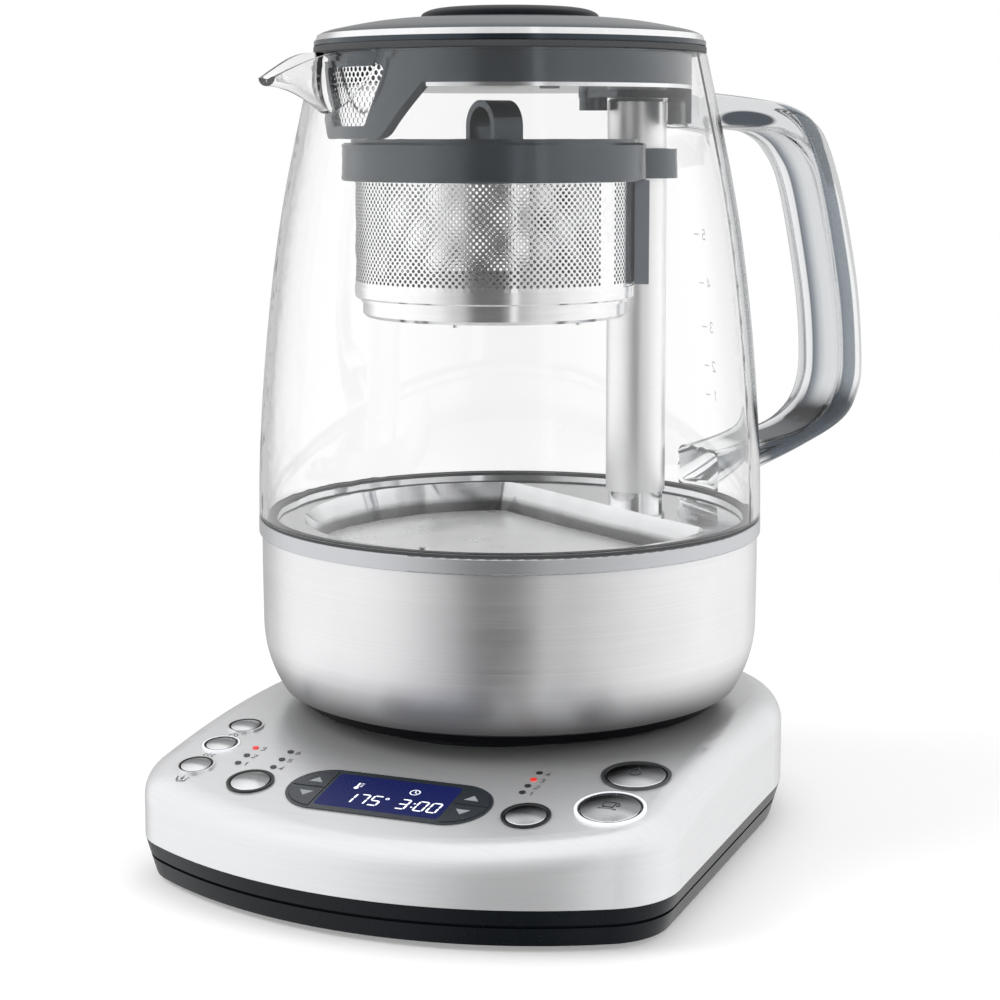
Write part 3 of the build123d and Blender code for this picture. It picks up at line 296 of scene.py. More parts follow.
def clear(name, colour, rough, ior, shadow, edge, grain=40.0, bump=0.02, bands=False):
    """Glass or clear plastic: faint waves in its surface, and lamps shine through it.

    shadow is the share of light that passes, edge is (start, end, level) of a painted grey shade toward the
    outline, and bands adds painted shades, grey stripes along the moulded handle, from the attributes of its mesh."""
    made = bpy.data.materials.new(name)
    made.use_nodes = True
    tree = Tree(made)
    place = tree.node("ShaderNodeTexCoord").outputs["Object"]
    waves = tree.node("ShaderNodeTexNoise", {"Vector": place}, {"Scale": grain, "Detail": 1.5})
    shader = tree.node("ShaderNodeBsdfPrincipled", sockets={"Transmission Weight": 1.0, "IOR": ior})
    # Painted shade: the colour greys toward the outline, where the view grazes the surface
    facing = tree.node("ShaderNodeLayerWeight", sockets={"Blend": 0.5}).outputs["Facing"]
    tone = tree.ramp(facing, [(0.0, rgba(colour)[:3]), (edge[0], rgba(colour, 0.97)[:3]),
                              (edge[1], rgba(colour, edge[2])[:3])])
    # Painted shades: the handle's grey bands stand in for the surroundings it refracts
    if bands:
        tone = handle_painted_shades(tree, tone)
    tree.join(tone, shader.inputs["Base Color"])
    tree.join(tree.span(waves.outputs["Fac"], 0.0, rough * 2), shader.inputs["Roughness"])
    relief = tree.node("ShaderNodeBump", {"Height": waves.outputs["Fac"]}, {"Strength": bump, "Distance": MM})
    tree.join(relief.outputs["Normal"], shader.inputs["Normal"])
    through = tree.node("ShaderNodeBsdfTransparent", sockets={"Color": rgba(shadow)})
    light = tree.node("ShaderNodeLightPath")
    either = tree.maths("MAXIMUM", light.outputs["Is Shadow Ray"], light.outputs["Is Diffuse Ray"])
    mix = tree.node("ShaderNodeMixShader", {"Fac": either})
    tree.join(shader.outputs["BSDF"], mix.inputs[1])
    tree.join(through.outputs["BSDF"], mix.inputs[2])
    tree.node("ShaderNodeOutputMaterial", {"Surface": mix.outputs["Shader"]})
    return made


def glowing(name, colour, power, **sockets):
    """Finish of a lit lamp, digit or display, a little uneven over its face."""
    made = surface(name, colour, 0.3, grain=(2000, 2000, 2000), bump=0.03, **sockets)
    shader = made.node_tree.nodes[made["shader"]]
    shader.inputs["Emission Color"].default_value = rgba(colour)
    shader.inputs["Emission Strength"].default_value = power
    return made


# ---------------------------------------------------------------- finishes
steel_cover = surface("brushed_steel", (0.76, 0.765, 0.775), 0.25, metal=0.56, grain=(26, 1900, 9), detail=3,
                      side_grain=(26, 26, 1900), rough_spread=0.018, shade=0.03, bump=0.0, depth=0.01, blotch=12)
steel_bowl = turned(surface("brushed_bowl", (0.80, 0.80, 0.81), 0.41, metal=1.0, grain=(10, 10, 3200), detail=4,
                            rough_spread=0.07, shade=0.05, bump=0.2, depth=0.02), 0.7, 0.25)
# Painted shade: the bowl's colour darkens from its upright wall down to its foot, for the dark base and shadow it
# reflects there
painted_shade_by_height(steel_bowl, BOWL_FOOT, BOWL_UPRIGHT,
          [(0.0, 0.13), (0.1, 0.19), (0.25, 0.36), (0.42, 0.58), (0.62, 0.85), (0.85, 1.0)])
steel_polished = surface("polished_steel", (0.91, 0.91, 0.92), 0.13, metal=1.0, grain=(60, 60, 900),
                         rough_spread=0.04, shade=0.03, bump=0.06, depth=0.02)
steel_pan = surface("pan_steel", (0.92, 0.93, 0.94), 0.08, metal=1.0, grain=(90, 90, 90),
                    rough_spread=0.05, shade=0.03, bump=0.05, depth=0.05)
# Painted shade: the wall of the well is dark at its foot and paler above
painted_shade_by_height(steel_pan, PAN_LOW, PAN_HIGH, [(0.0, 0.09), (0.26, 0.14), (0.46, 0.70), (0.9, 0.86)])
steel_post = surface("post_steel", (0.98, 0.98, 0.98), 0.38, metal=1.0, grain=(60, 60, 900),
                     rough_spread=0.04, shade=0.01, bump=0.02, depth=0.02)
well_floor = surface("well_floor", (0.97, 0.975, 0.98), 0.30, metal=0.7, grain=(90, 90, 90),
                     rough_spread=0.05, shade=0.03, bump=0.05, depth=0.05)
steel_mesh = surface("mesh_steel", (0.93, 0.93, 0.94), 0.12, metal=1.0, grain=(500, 500, 500),
                     rough_spread=0.06, shade=0.05, bump=0.08, depth=0.02)
chrome = surface("bright_ring", (0.86, 0.86, 0.87), 0.10, metal=1.0, grain=(400, 400, 400),
                 rough_spread=0.04, shade=0.03, bump=0.04, depth=0.02)
satin = surface("satin_trim", (0.56, 0.57, 0.59), 0.34, metal=0.88, grain=(30, 30, 1800),
                rough_spread=0.06, shade=0.03, bump=0.06, depth=0.03)
black = surface("black_body", (0.006, 0.008, 0.011), 0.26, grain=(600, 600, 600), rough_spread=0.04,
                shade=0.08, bump=0.0, depth=0.01, Specular_IOR_Level=0.13)
foot_black = surface("foot_black", (0.002, 0.002, 0.003), 0.4, grain=(600, 600, 600), bump=0.0, depth=0.01,
                     Specular_IOR_Level=0.04)
# A paler copy of slate for the basket's cradle: painted light, for the light that the part catches
slate_painted_light = surface("slate_painted_light", (0.105, 0.125, 0.15), 0.30, grain=(300, 300, 300), detail=1, rough_spread=0.02,
                     shade=0.02, bump=0.0, depth=0.01, Specular_IOR_Level=0.5)
rubber = surface("foot_rubber", (0.018, 0.018, 0.019), 0.75, grain=(2500, 2500, 2500), bump=0.4, depth=0.06)
seal = surface("seal_rubber", (0.045, 0.047, 0.05), 0.55, grain=(1800, 1800, 1800), bump=0.3, depth=0.05)
slate = surface("slate", (0.008, 0.012, 0.017), 0.17, grain=(300, 300, 300), detail=1, rough_spread=0.01,
                shade=0.02, bump=0.0, depth=0.01, blotch=30, Specular_IOR_Level=0.85,
                Specular_Tint=(0.78, 0.91, 1.0, 1.0))
knob = surface("knob_black", (0.005, 0.007, 0.010), 0.34, grain=(1400, 1400, 1400), rough_spread=0.05, shade=0.1,
               bump=0.02, depth=0.01, Specular_IOR_Level=0.12)
panel = surface("panel_dark", (0.024, 0.030, 0.037), 0.30, grain=(1500, 1500, 1500), rough_spread=0.06,
                shade=0.05, bump=0.02, depth=0.02, Coat_Weight=0.15, Coat_Roughness=0.1)
# The round buttons' caps carry a painted reflection, pale in front and dark behind
button_cap = painted_dome_reflection(surface("button_silver", (0.86, 0.875, 0.89), 0.20, metal=1.0, grain=(20, 900, 900),
                           rough_spread=0.03, shade=0.02, bump=0.02, depth=0.02))
lamp_off = surface("lamp", (0.035, 0.037, 0.04), 0.25, grain=(2000, 2000, 2000), bump=0.05)
lamp_red = glowing("lamp_red", (0.62, 0.03, 0.025), 0.5)
white_glow = glowing("white_glow", (0.78, 0.80, 0.83), 0.3)
digit_white = glowing("digit_white", (0.86, 0.89, 0.97), 0.8)
display = glowing("display_blue", (0.008, 0.012, 0.075), 0.38, Specular_IOR_Level=0.12)
ring_dark = surface("ring_dark", (0.10, 0.105, 0.11), 0.30, metal=0.6, grain=(500, 500, 500), bump=0.04)
lip_black = surface("lip_black", (0.008, 0.009, 0.010), 0.30, grain=(1600, 1600, 1600), bump=0.03)
board = surface("circuit_board", (0.02, 0.09, 0.04), 0.4, grain=(700, 700, 700), shade=0.25, bump=0.2)
inner_steel = surface("inner_steel", (0.55, 0.55, 0.56), 0.35, metal=1.0, grain=(200, 200, 900))
inner_plastic = surface("inner_plastic", (0.12, 0.12, 0.125), 0.45, grain=(1500, 1500, 1500))
glass = clear("clear_glass", (1.0, 1.0, 1.0), 0.0, 1.47, 0.95, (0.93, 1.0, 0.85))
plastic = clear("clear_plastic", (0.95, 0.96, 0.965), 0.008, 1.49, 0.85, (0.5, 1.0, 0.35), grain=25.0, bump=0.03)
grip = clear("clear_handle", (0.95, 0.96, 0.965), 0.05, 1.49, 0.85, (0.88, 1.0, 0.45), grain=25.0, bump=0.03,
             bands=True)
joint = clear("handle_joint", (0.97, 0.975, 0.98), 0.1, 1.02, 0.95, (0.9, 1.0, 0.9))
print_dark = surface("print_dark", (0.05, 0.055, 0.06), 0.5, grain=(1500, 1500, 1500), bump=0.05)
print_pale = surface("print_pale", (0.68, 0.70, 0.72), 0.5, grain=(1500, 1500, 1500), bump=0.05)
key_mark = surface("key_mark", (0.33, 0.36, 0.39), 0.4, grain=(1500, 1500, 1500), bump=0.05)

finish_of = {
    "brushed_steel": steel_cover, "polished_steel": steel_polished, "bright_ring": chrome, "satin_trim": satin,
    "black_body": black, "foot_rubber": rubber, "seal_rubber": seal, "circuit_board": board,
    "inner_steel": inner_steel, "panel_dark": panel, "display_blue": display, "lamp": lamp_off,
    "button_silver": button_cap, "clear_glass": glass, "clear_plastic": plastic, "slate": slate,
    "knob_black": knob, "inner_plastic": inner_plastic,
}
for part in frame["record"]["subparts"]:
    held = nodes[part["node"]].data.materials
    held.clear()
    held.append(finish_of[part["material_slot"]])
for name, finish in (("bowl_shell", steel_bowl), ("floor_pan", steel_pan), ("basket_cap", steel_polished),
                     ("post_tube", steel_post), ("jug_bottom_cover", foot_black), ("basket_cradle", slate_painted_light)):
    nodes[name].data.materials[0] = finish
pan = nodes["floor_pan"].data
pan.materials.append(well_floor)
for polygon in pan.polygons:
    if polygon.center.z < WELL_FLOOR_TOP * MM and polygon.normal.z > UPWARD:
        polygon.material_index = 1


# ---------------------------------------------------------------- mesh helpers
def piece(name, points, faces, body, finish, smooth=False, replaces=()):
    """A mesh piece from points in metres, riding on a body."""
    mesh = bpy.data.meshes.new(name)
    mesh.from_pydata([tuple(point) for point in points], [], faces)
    mesh.validate()
    mesh.update()
    if smooth:
        for polygon in mesh.polygons:
            polygon.use_smooth = True
    made = bpy.data.objects.new(name, mesh)
    bpy.context.scene.collection.objects.link(made)
    made.data.materials.append(finish)
    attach(made, body)
    if replaces:
        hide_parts(*replaces)
    return made


def jug_point(across, along, height):
    """A point in the jug's own directions: across to the right of the handle, along toward the handle."""
    return Vector((across * cos(JUG_TURN) + along * sin(JUG_TURN),
                   -across * sin(JUG_TURN) + along * cos(JUG_TURN), height)) * MM


def tangent_point(place, x, y, rise):
    """A point over a place on the base's sloping top, in the plane that touches the slope there."""
    lean = asin((place[1] - SLOPE_START) / SLOPE_RADIUS)
    height = PLATEAU - SLOPE_RADIUS * (1 - cos(lean))
    return Vector((place[0] + x, -place[1] + y * cos(lean) - rise * sin(lean),
                   height + y * sin(lean) + rise * cos(lean))) * MM


def crown_point(place, x, y):
    """A point just over the crowned cap of a large button."""
    height = CAP_BULGE * LARGE_CAP
    radius = (LARGE_CAP ** 2 + height ** 2) / (2 * height)
    return tangent_point(place, x, y,
                         CAP_RISE + height - radius + sqrt(radius ** 2 - x ** 2 - y ** 2) + CAP_INK)


class Ink:
    """Flat marks drawn in a plane: strokes, discs, rings and polygons."""

    def __init__(self):
        self.points, self.faces = [], []

    def polygon(self, outline):
        start = len(self.points)
        self.points += outline
        self.faces.append(tuple(range(start, start + len(outline))))

    def stroke(self, line, width, closed=False, sharpest=0.4):
        """A line of even width with mitred corners; sharpest, a cosine of half the turn, limits their length."""
        count = len(line)
        sides = []
        for number, (x, y) in enumerate(line):
            before = line[number - 1] if number or closed else None
            after = line[(number + 1) % count] if number < count - 1 or closed else None
            steps = []
            for first, second in ((before, (x, y)), ((x, y), after)):
                if first is not None and second is not None:
                    step = Vector((second[0] - first[0], second[1] - first[1]))
                    steps.append(step.normalized())
            way = sum(steps, Vector((0, 0))).normalized()
            side = Vector((-way.y, way.x))
            side *= width / 2 / max(side.dot(Vector((-steps[0].y, steps[0].x))), sharpest)
            sides.append(((x + side.x, y + side.y), (x - side.x, y - side.y)))
        start = len(self.points)
        for left, right in sides:
            self.points += [left, right]
        for number in range(count if closed else count - 1):
            a, b = start + 2 * number, start + 2 * ((number + 1) % count)
            self.faces.append((a, a + 1, b + 1, b))

    def arc(self, x, y, radius, start, end, width, steps):
        """Part of a circle between two angles in degrees, or all of it."""
        line = [(x + radius * cos(radians(start + (end - start) * n / steps)),
                 y + radius * sin(radians(start + (end - start) * n / steps))) for n in range(steps + 1)]
        if abs(end - start) >= 360:
            self.stroke(line[:-1], width, closed=True)
        else:
            self.stroke(line, width)

    def disc(self, x, y, radius, steps):
        self.polygon([(x + radius * cos(2 * pi * n / steps), y + radius * sin(2 * pi * n / steps))
                      for n in range(steps)])

    def digit(self, sign, x, y, height, width):
        """A digit from 1 to 6 as line strokes, x, y at the lower left corner."""
        wide = height * 0.56
        shapes = {
            "1": [[(0.15, 0.75), (0.55, 1), (0.55, 0)]],
            "2": [[(0, 0.8), (0.2, 1), (0.8, 1), (1, 0.8), (1, 0.6), (0, 0), (1, 0)]],
            "3": [[(0, 0.85), (0.2, 1), (0.8, 1), (1, 0.8), (0.8, 0.55), (0.4, 0.52)],
                  [(0.4, 0.52), (0.8, 0.5), (1, 0.25), (0.8, 0), (0.2, 0), (0, 0.15)]],
            "4": [[(0.75, 0), (0.75, 1), (0, 0.3), (1, 0.3)]],
            "5": [[(0.95, 1), (0.1, 1), (0.05, 0.55), (0.7, 0.58), (1, 0.4), (1, 0.18), (0.8, 0), (0.2, 0),
                   (0, 0.15)]],
            "6": [[(0.9, 1), (0.4, 0.9), (0, 0.45), (0, 0.2), (0.2, 0), (0.8, 0), (1, 0.2), (1, 0.4),
                   (0.8, 0.56), (0.2, 0.56), (0.02, 0.4)]],
        }
        for line in shapes[sign]:
            self.stroke([(x + u * wide, y + v * height) for u, v in line], width)

    def make(self, name, place, body, finish):
        """The marks as a piece: place turns (x, y) into a point in metres."""
        return piece(name, [place(x, y) for x, y in self.points], self.faces, body, finish)


# ---------------------------------------------------------------- perforated sheets
def perforated(name, radius, wall, centre, low, columns, rows, pitch_z, hole, body, finish, replaces,
               start=0.0, arc=2 * pi, plain=None, keep=None, edge_low=None, edge_high=None):
    """Curved sheet with a staggered grid of real holes, with thickness; lengths are in millimetres.

    Every hole is an octagon in a diamond of the grid, and hole is its radius. plain(angle, z) leaves a diamond
    whole, and keep(angle, z) says whether it is there at all. edge_low and edge_high are the heights to which the
    sheet goes on without holes."""
    whole = arc >= 2 * pi - 1e-6
    step = arc / columns
    snap = 64  # points closer than this part of a grid step are one point
    points, faces, rims, found = [], [], [], {}

    def at(u, v):
        key = (round(u * snap) % (columns * snap) if whole else round(u * snap), round(v * snap))
        if key not in found:
            found[key] = len(points)
            points.append((start + u * step, low + v * pitch_z))
        return found[key]

    hole_u, hole_v = hole / (radius * step), hole / pitch_z
    for row in range(rows):
        for column in range(columns):
            u, v = column + (0.5 if row % 2 else 0.0), float(row)
            angle, height = start + u * step, low + v * pitch_z
            if keep and not keep(angle, height):
                continue
            corners = [at(u + 0.5, v), at(u, v + 1), at(u - 0.5, v), at(u, v - 1)]
            if plain and plain(angle, height):
                faces.append(tuple(corners))
                continue
            ring = [at(u + hole_u * cos(n * pi / 4), v + hole_v * sin(n * pi / 4)) for n in range(8)]
            for n in range(4):
                a, b = corners[n], corners[(n + 1) % 4]
                first, middle, last = ring[2 * n], ring[2 * n + 1], ring[(2 * n + 2) % 8]
                faces += [(a, b, middle), (a, middle, first), (b, last, middle)]
            rims.append(ring)
    borders = []
    if edge_low is not None:
        for column in range(columns):
            faces.append((at(column, -1), at(column + 1, -1), at(column + 0.5, 0)))
            at_low = (edge_low - low) / pitch_z
            faces.append((at(column, at_low), at(column + 1, at_low), at(column + 1, -1), at(column, -1)))
            borders.append((at(column, at_low), at(column + 1, at_low)))
    if edge_high is not None:
        shift = 0.5 if (rows - 1) % 2 else 0.0
        for column in range(columns):
            u = column + shift
            faces.append((at(u + 0.5, rows - 1), at(u + 1, rows), at(u, rows)))
            at_high = (edge_high - low) / pitch_z
            faces.append((at(u, rows), at(u + 1, rows), at(u + 1, at_high), at(u, at_high)))
            borders.append((at(u + 1, at_high), at(u, at_high)))
    count = len(points)
    solid = []
    for reach in (radius, radius - wall):
        for angle, height in points:
            solid.append((centre[0] * MM + reach * cos(angle) * MM, centre[1] * MM + reach * sin(angle) * MM,
                          height * MM))
    inner = [tuple(reversed([corner + count for corner in face])) for face in faces]
    walls = []
    for ring in rims:
        for n in range(8):
            a, b = ring[n], ring[(n + 1) % 8]
            walls.append((a, b, b + count, a + count))
    for a, b in borders:
        walls.append((b, a, a + count, b + count))
    return piece(name, solid, faces + inner + walls, body, finish, replaces=replaces)


basket_centre = (-BASKET_OUT * sin(JUG_TURN), -BASKET_OUT * cos(JUG_TURN))
SEAM, SEAM_HALF = radians(-16.4), radians(4.6)


def in_seam(angle, height):
    """Whether a place lies on the welded seam of the basket's wall, which has no holes."""
    return abs((angle - SEAM + pi) % (2 * pi) - pi) < SEAM_HALF


perforated("basket_screen", BASKET_RADIUS, BASKET_WALL, basket_centre, low=181.6, columns=135, rows=29,
           pitch_z=1.1, hole=0.575, body="basket", finish=steel_mesh,
           replaces=("basket_mesh",), plain=in_seam, edge_low=179.8, edge_high=222.0)

spout_way = atan2(-cos(JUG_TURN), -sin(JUG_TURN))
FILTER_RADIUS, FILTER_HALF = 58.5, radians(22)
WINDOW_LOW, WINDOW_HIGH = 230.4, 249.0  # heights of the filter's window
WINDOW_FOOT, WINDOW_TOP = 9.9, 19.5  # its half widths there
UNDER_FRAME = 1.6  # how far the screen reaches under the frame


def in_window(angle, height):
    """Whether a hole lies in the filter's window or under its frame's edge."""
    across = abs(FILTER_RADIUS * sin(angle - spout_way))
    limit = WINDOW_FOOT + (WINDOW_TOP - WINDOW_FOOT) * (height - WINDOW_LOW) / (WINDOW_HIGH - WINDOW_LOW)
    return across < limit + UNDER_FRAME and WINDOW_LOW - UNDER_FRAME < height < WINDOW_HIGH + UNDER_FRAME


perforated("filter_screen", FILTER_RADIUS + 0.1, 0.3, (0, 0), low=229.0, columns=18, rows=14, pitch_z=1.6,
           hole=0.8, body="lid", finish=steel_mesh, replaces=("filter_mesh",),
           start=spout_way - FILTER_HALF, arc=2 * FILTER_HALF, keep=in_window)


# ---------------------------------------------------------------- handle
# Height and outer radius of the glass
glass_profile = [(105, 82.5), (116, 82.4), (142, 81.1), (175, 78.1), (207, 73.5), (239, 66.9), (252, 64.0)]
# Distance from the jug's axis, share of the glass's height
handle_outer = [(58, 0.929), (75, 0.923), (97, 0.910), (111.3, 0.894), (122.4, 0.855), (129, 0.793), (136, 0.665),
                (143, 0.464), (145.6, 0.285), (144.0, 0.208), (137, 0.142), (118, 0.089), (99, 0.046),
                (72, -0.013)]
handle_inner = [(58, 0.847), (75, 0.844), (98, 0.839), (107, 0.827), (115, 0.788), (122.6, 0.698), (131, 0.454),
                (133.3, 0.292), (131.2, 0.212), (125, 0.159), (116, 0.128), (99, 0.108), (72, 0.087)]


def glass_radius(height):
    """Outer radius of the glass, which keeps its end values beyond the profile."""
    for (z1, r1), (z2, r2) in zip(glass_profile, glass_profile[1:]):
        if z1 <= height <= z2:
            return r1 + (r2 - r1) * (height - z1) / (z2 - z1)
    return glass_profile[-1][1] if height > glass_profile[-1][0] else glass_profile[0][1]


def evened(line, count, fineness=24):
    """Even steps along a smooth curve through the points of an outline, in millimetres."""
    knots = [Vector((along, GLASS_LOW + share * (GLASS_HIGH - GLASS_LOW))) for along, share in line]
    knots = [knots[0] * 2 - knots[1]] + knots + [knots[-1] * 2 - knots[-2]]
    dense = []
    for a, b, c, d in zip(knots, knots[1:], knots[2:], knots[3:]):
        for n in range(fineness):
            t = n / fineness
            dense.append(0.5 * (2 * b + (c - a) * t + (2 * a - 5 * b + 4 * c - d) * t ** 2
                                + (3 * b - a - 3 * c + d) * t ** 3))
    dense.append(knots[-2])
    lengths = [0.0]
    for a, b in zip(dense, dense[1:]):
        lengths.append(lengths[-1] + (b - a).length)
    made, place = [], 0
    for n in range(count):
        goal = lengths[-1] * n / (count - 1)
        while place < len(dense) - 2 and lengths[place + 1] < goal:
            place += 1
        share = (goal - lengths[place]) / (lengths[place + 1] - lengths[place])
        made.append(dense[place].lerp(dense[place + 1], min(share, 1.0)))
    return made


def handle_section(thick, flats=(8, 12), corner_steps=5):
    """Rounded rectangle around the handle: (share from inner to outer face, share from far to near side)."""
    edge = min(HANDLE_EDGE, thick * 0.3)
    corners = [(1 - edge / thick, 1 - edge / HANDLE_HALF / 2, 0), (edge / thick, 1 - edge / HANDLE_HALF / 2, 1),
               (edge / thick, edge / HANDLE_HALF / 2, 2), (1 - edge / thick, edge / HANDLE_HALF / 2, 3)]
    ring = []
    for u, v, quarter in corners:
        arc = []
        for n in range(corner_steps + 1):
            angle = pi / 2 * (quarter + n / corner_steps)
            arc.append((u + edge / thick * cos(angle), v + edge / HANDLE_HALF / 2 * sin(angle)))
        if ring:
            ring += between(ring[-1], arc[0], flats[(quarter + 1) % 2])
        ring += arc
    return ring + between(ring[-1], ring[0], flats[1])


def between(first, last, count):
    """Points that divide a line, without its ends."""
    return [(first[0] + (last[0] - first[0]) * n / count, first[1] + (last[1] - first[1]) * n / count)
            for n in range(1, count)]


def clear_handle(stations=110, weld=0.04):
    """Solid clear handle: a rounded section swept between its two outlines, ends fitted to the glass."""
    rings = list(zip(evened(handle_inner, stations), evened(handle_outer, stations)))
    points, marks = [], {"across": [], "wide": [], "run": []}
    for number, (low, high) in enumerate(rings):
        section = handle_section((high - low).length)
        around = len(section)
        for u, v in section:
            spot = low.lerp(high, u)
            swing = (2 * v - 1) * HANDLE_HALF
            along = max(spot.x, sqrt((glass_radius(spot.y) + weld) ** 2 - swing ** 2))
            points.append(jug_point(swing, along, spot.y))
            for name, value in (("across", u), ("wide", v), ("run", number / (stations - 1))):
                marks[name].append(value)
    faces = []
    for number in range(stations - 1):
        for n in range(around):
            a, b = number * around + n, number * around + (n + 1) % around
            faces.append((a, b, b + around, a + around))
    faces.append(tuple(reversed(range(around))))
    faces.append(tuple(range((stations - 1) * around, stations * around)))
    made = piece("clear_handle", points, faces, "jug", grip, smooth=True, replaces=("handle",))
    for name, values in marks.items():
        made.data.attributes.new(name, "FLOAT", "POINT").data.foreach_set("value", values)
    # The two end faces, which meet the glass, are clear of the grip's painted shades
    made.data.materials.append(joint)
    for polygon in list(made.data.polygons)[-2:]:
        polygon.material_index = 1
        polygon.use_smooth = False


clear_handle()


# ---------------------------------------------------------------- display
def segments(ink, text, x, y, height, slant=0.08):
    """Seven-segment figures, x, y at the lower left corner; gives the x of the place after the last one."""
    wide, bar = height * 0.5, height * 0.105
    lit = {"0": "abcdef", "1": "bc", "3": "abgcd", "5": "afgcd", "7": "abc"}
    ends = {"a": ((0, 1), (1, 1)), "b": ((1, 1), (1, 0.5)), "c": ((1, 0.5), (1, 0)), "d": ((0, 0), (1, 0)),
            "e": ((0, 0.5), (0, 0)), "f": ((0, 1), (0, 0.5)), "g": ((0, 0.5), (1, 0.5))}
    for sign in text:
        if sign == ":":
            for level in (0.3, 0.7):
                ink.disc(x + bar * 0.6 + slant * level * height, y + level * height, bar * 0.6, 10)
            x += bar * 2.6
            continue
        for key in lit[sign]:
            (u1, v1), (u2, v2) = ends[key]
            p = Vector((x + u1 * wide + slant * v1 * height, y + v1 * height))
            q = Vector((x + u2 * wide + slant * v2 * height, y + v2 * height))
            way = (q - p).normalized()
            side = Vector((-way.y, way.x)) * bar / 2
            p, q = p + way * bar * 0.15, q - way * bar * 0.15
            nose = way * bar / 2
            ink.polygon([tuple(p), tuple(p + nose - side), tuple(q - nose - side), tuple(q),
                         tuple(q - nose + side), tuple(p + nose + side)])
        x += wide * 1.5
    return x


DIGIT_FOOT, DIGIT_HEIGHT = -6.6, 5.6
digits = Ink()
after = segments(digits, "175", -12.4, DIGIT_FOOT, DIGIT_HEIGHT)
digits.arc(after + 0.5, -1.9, 0.5, 0, 360, 0.28, 12)
segments(digits, "3:00", 4.9, DIGIT_FOOT, DIGIT_HEIGHT)
# Thermometer and clock
digits.stroke([(-11.6, 5.6), (-11.6, 2.8)], 0.6)
digits.disc(-11.6, 2.5, 0.75, 14)
for level in range(3):
    digits.stroke([(-10.9, 5.3 - level * 0.9), (-10.0, 5.3 - level * 0.9)], 0.28)
digits.arc(7.0, 3.9, 1.5, 0, 360, 0.32, 20)
digits.stroke([(7.0, 4.9), (7.0, 3.9), (7.7, 3.5)], 0.28)
digits.make("lcd_digits", lambda x, y: tangent_point(PANEL, x, y, DISPLAY_INK), "base", digit_white)

for name, side, rise in (("key_left_up", -1, 1), ("key_left_down", -1, -1), ("key_right_up", 1, 1),
                         ("key_right_down", 1, -1)):
    arrow = Ink()
    x, y = side * 25.2, rise * 4.2
    arrow.polygon([(x - 2.3, y - rise * 1.3), (x + 2.3, y - rise * 1.3), (x, y + rise * 1.7)][::rise])
    arrow.make(name + "_mark", lambda x, y: tangent_point(PANEL, x, y, KEY_INK), name, key_mark)


# ---------------------------------------------------------------- rings, lips and lamps of the controls
# Place of each round button, radius of its cap, finish of its ring
small_rings = (chrome, white_glow, chrome)
controls = [((SMALL_X, reach), SMALL_CAP, finish) for reach, finish in zip(SMALL_ROWS, small_rings)]
controls += [(place, SELECT_CAP, lip_black) for place in SELECT_PLACES]
controls += [(LARGE_UPPER, LARGE_CAP, ring_dark), (LARGE_LOWER, LARGE_CAP, white_glow)]


def paint_nearest(node, places, finishes):
    """Gives each face of a node the finish of the place that is nearest in plan."""
    mesh = nodes[node].data
    mesh.materials.clear()
    for finish in finishes:
        mesh.materials.append(finish)
    for polygon in mesh.polygons:
        x, y = polygon.center.x / MM, polygon.center.y / MM
        polygon.material_index = min(range(len(places)),
                                     key=lambda n: (places[n][0] - x) ** 2 + (places[n][1] + y) ** 2)


ring_places, _, ring_finishes = zip(*controls)
paint_nearest("button_rings", ring_places, ring_finishes)
tea_places = [(x, reach) for x in TEA_COLUMNS for reach in TEA_ROWS]
paint_nearest("tea_leds", tea_places, [lamp_red] + [lamp_off] * 5)
strength_places = [(STRENGTH_COLUMN, reach) for reach in STRENGTH_ROWS]
paint_nearest("strength_leds", strength_places, [lamp_off, lamp_red, lamp_off, lamp_off])


def lips():
    """Dark lip inside each ring, a rounded band around the cap; its section is (out from the cap, rise)."""
    points, faces = [], []
    steps, section = 48, [(0.10, -0.5), (0.14, 0.0), (0.24, 0.30), (0.46, 0.60), (0.62, 0.64), (0.72, 0.58)]
    for place, cap, _ in controls:
        start = len(points)
        for n in range(steps):
            angle = 2 * pi * n / steps
            for out, rise in section:
                points.append(tangent_point(place, (cap + out) * cos(angle), (cap + out) * sin(angle), rise))
        for n in range(steps):
            for m in range(len(section) - 1):
                a = start + n * len(section) + m
                b = start + (n + 1) % steps * len(section) + m
                faces.append((a, b, b + 1, a + 1))
    piece("button_lips", points, faces, "base", lip_black, smooth=True)


lips()


# ---------------------------------------------------------------- marks on the base
def slope_point(x, y):
    """A point just over the base's sloping top; y is negative in front of the jug's axis."""
    lean = asin((-y - SLOPE_START) / SLOPE_RADIUS)
    height = PLATEAU - SLOPE_RADIUS * (1 - cos(lean))
    return Vector((x, y - SLOPE_INK * sin(lean), height + SLOPE_INK * cos(lean))) * MM


FIGURE, FIGURE_PEN, ICON_PEN = 2.2, 0.34, 0.34
marks = Ink()
tea_order = [(x, reach) for x in TEA_COLUMNS for reach in reversed(TEA_ROWS)]
strength_order = [(STRENGTH_COLUMN, reach) for reach in reversed(STRENGTH_ROWS)]
for column in (tea_order, strength_order):
    for order, (x, reach) in enumerate(column):
        marks.digit(str(order + 1), x + FIGURE, -reach - FIGURE / 2, FIGURE, FIGURE_PEN)
# Clock, waves and basket, each in front of its small button
marks.arc(SMALL_X, -69.4, 1.3, 0, 360, ICON_PEN, 20)
marks.stroke([(SMALL_X, -68.6), (SMALL_X, -69.4), (-65.9, -69.4)], 0.3)
for shift in (-1.4, 0.0, 1.4):
    marks.stroke([(SMALL_X + shift + 0.35 * sin(n * 1.3), -86.7 + n * 0.36) for n in range(8)], ICON_PEN)
marks.stroke([(-68.4, -100.6), (-67.9, -103.0), (-65.1, -103.0), (-64.6, -100.6)], ICON_PEN)
marks.stroke([(SMALL_X, -99.9), (SMALL_X, -102.0)], ICON_PEN)
marks.polygon([(-67.2, -101.4), (SMALL_X, -102.4), (-65.8, -101.4)])
marks.make("base_marks", slope_point, "base", print_dark)

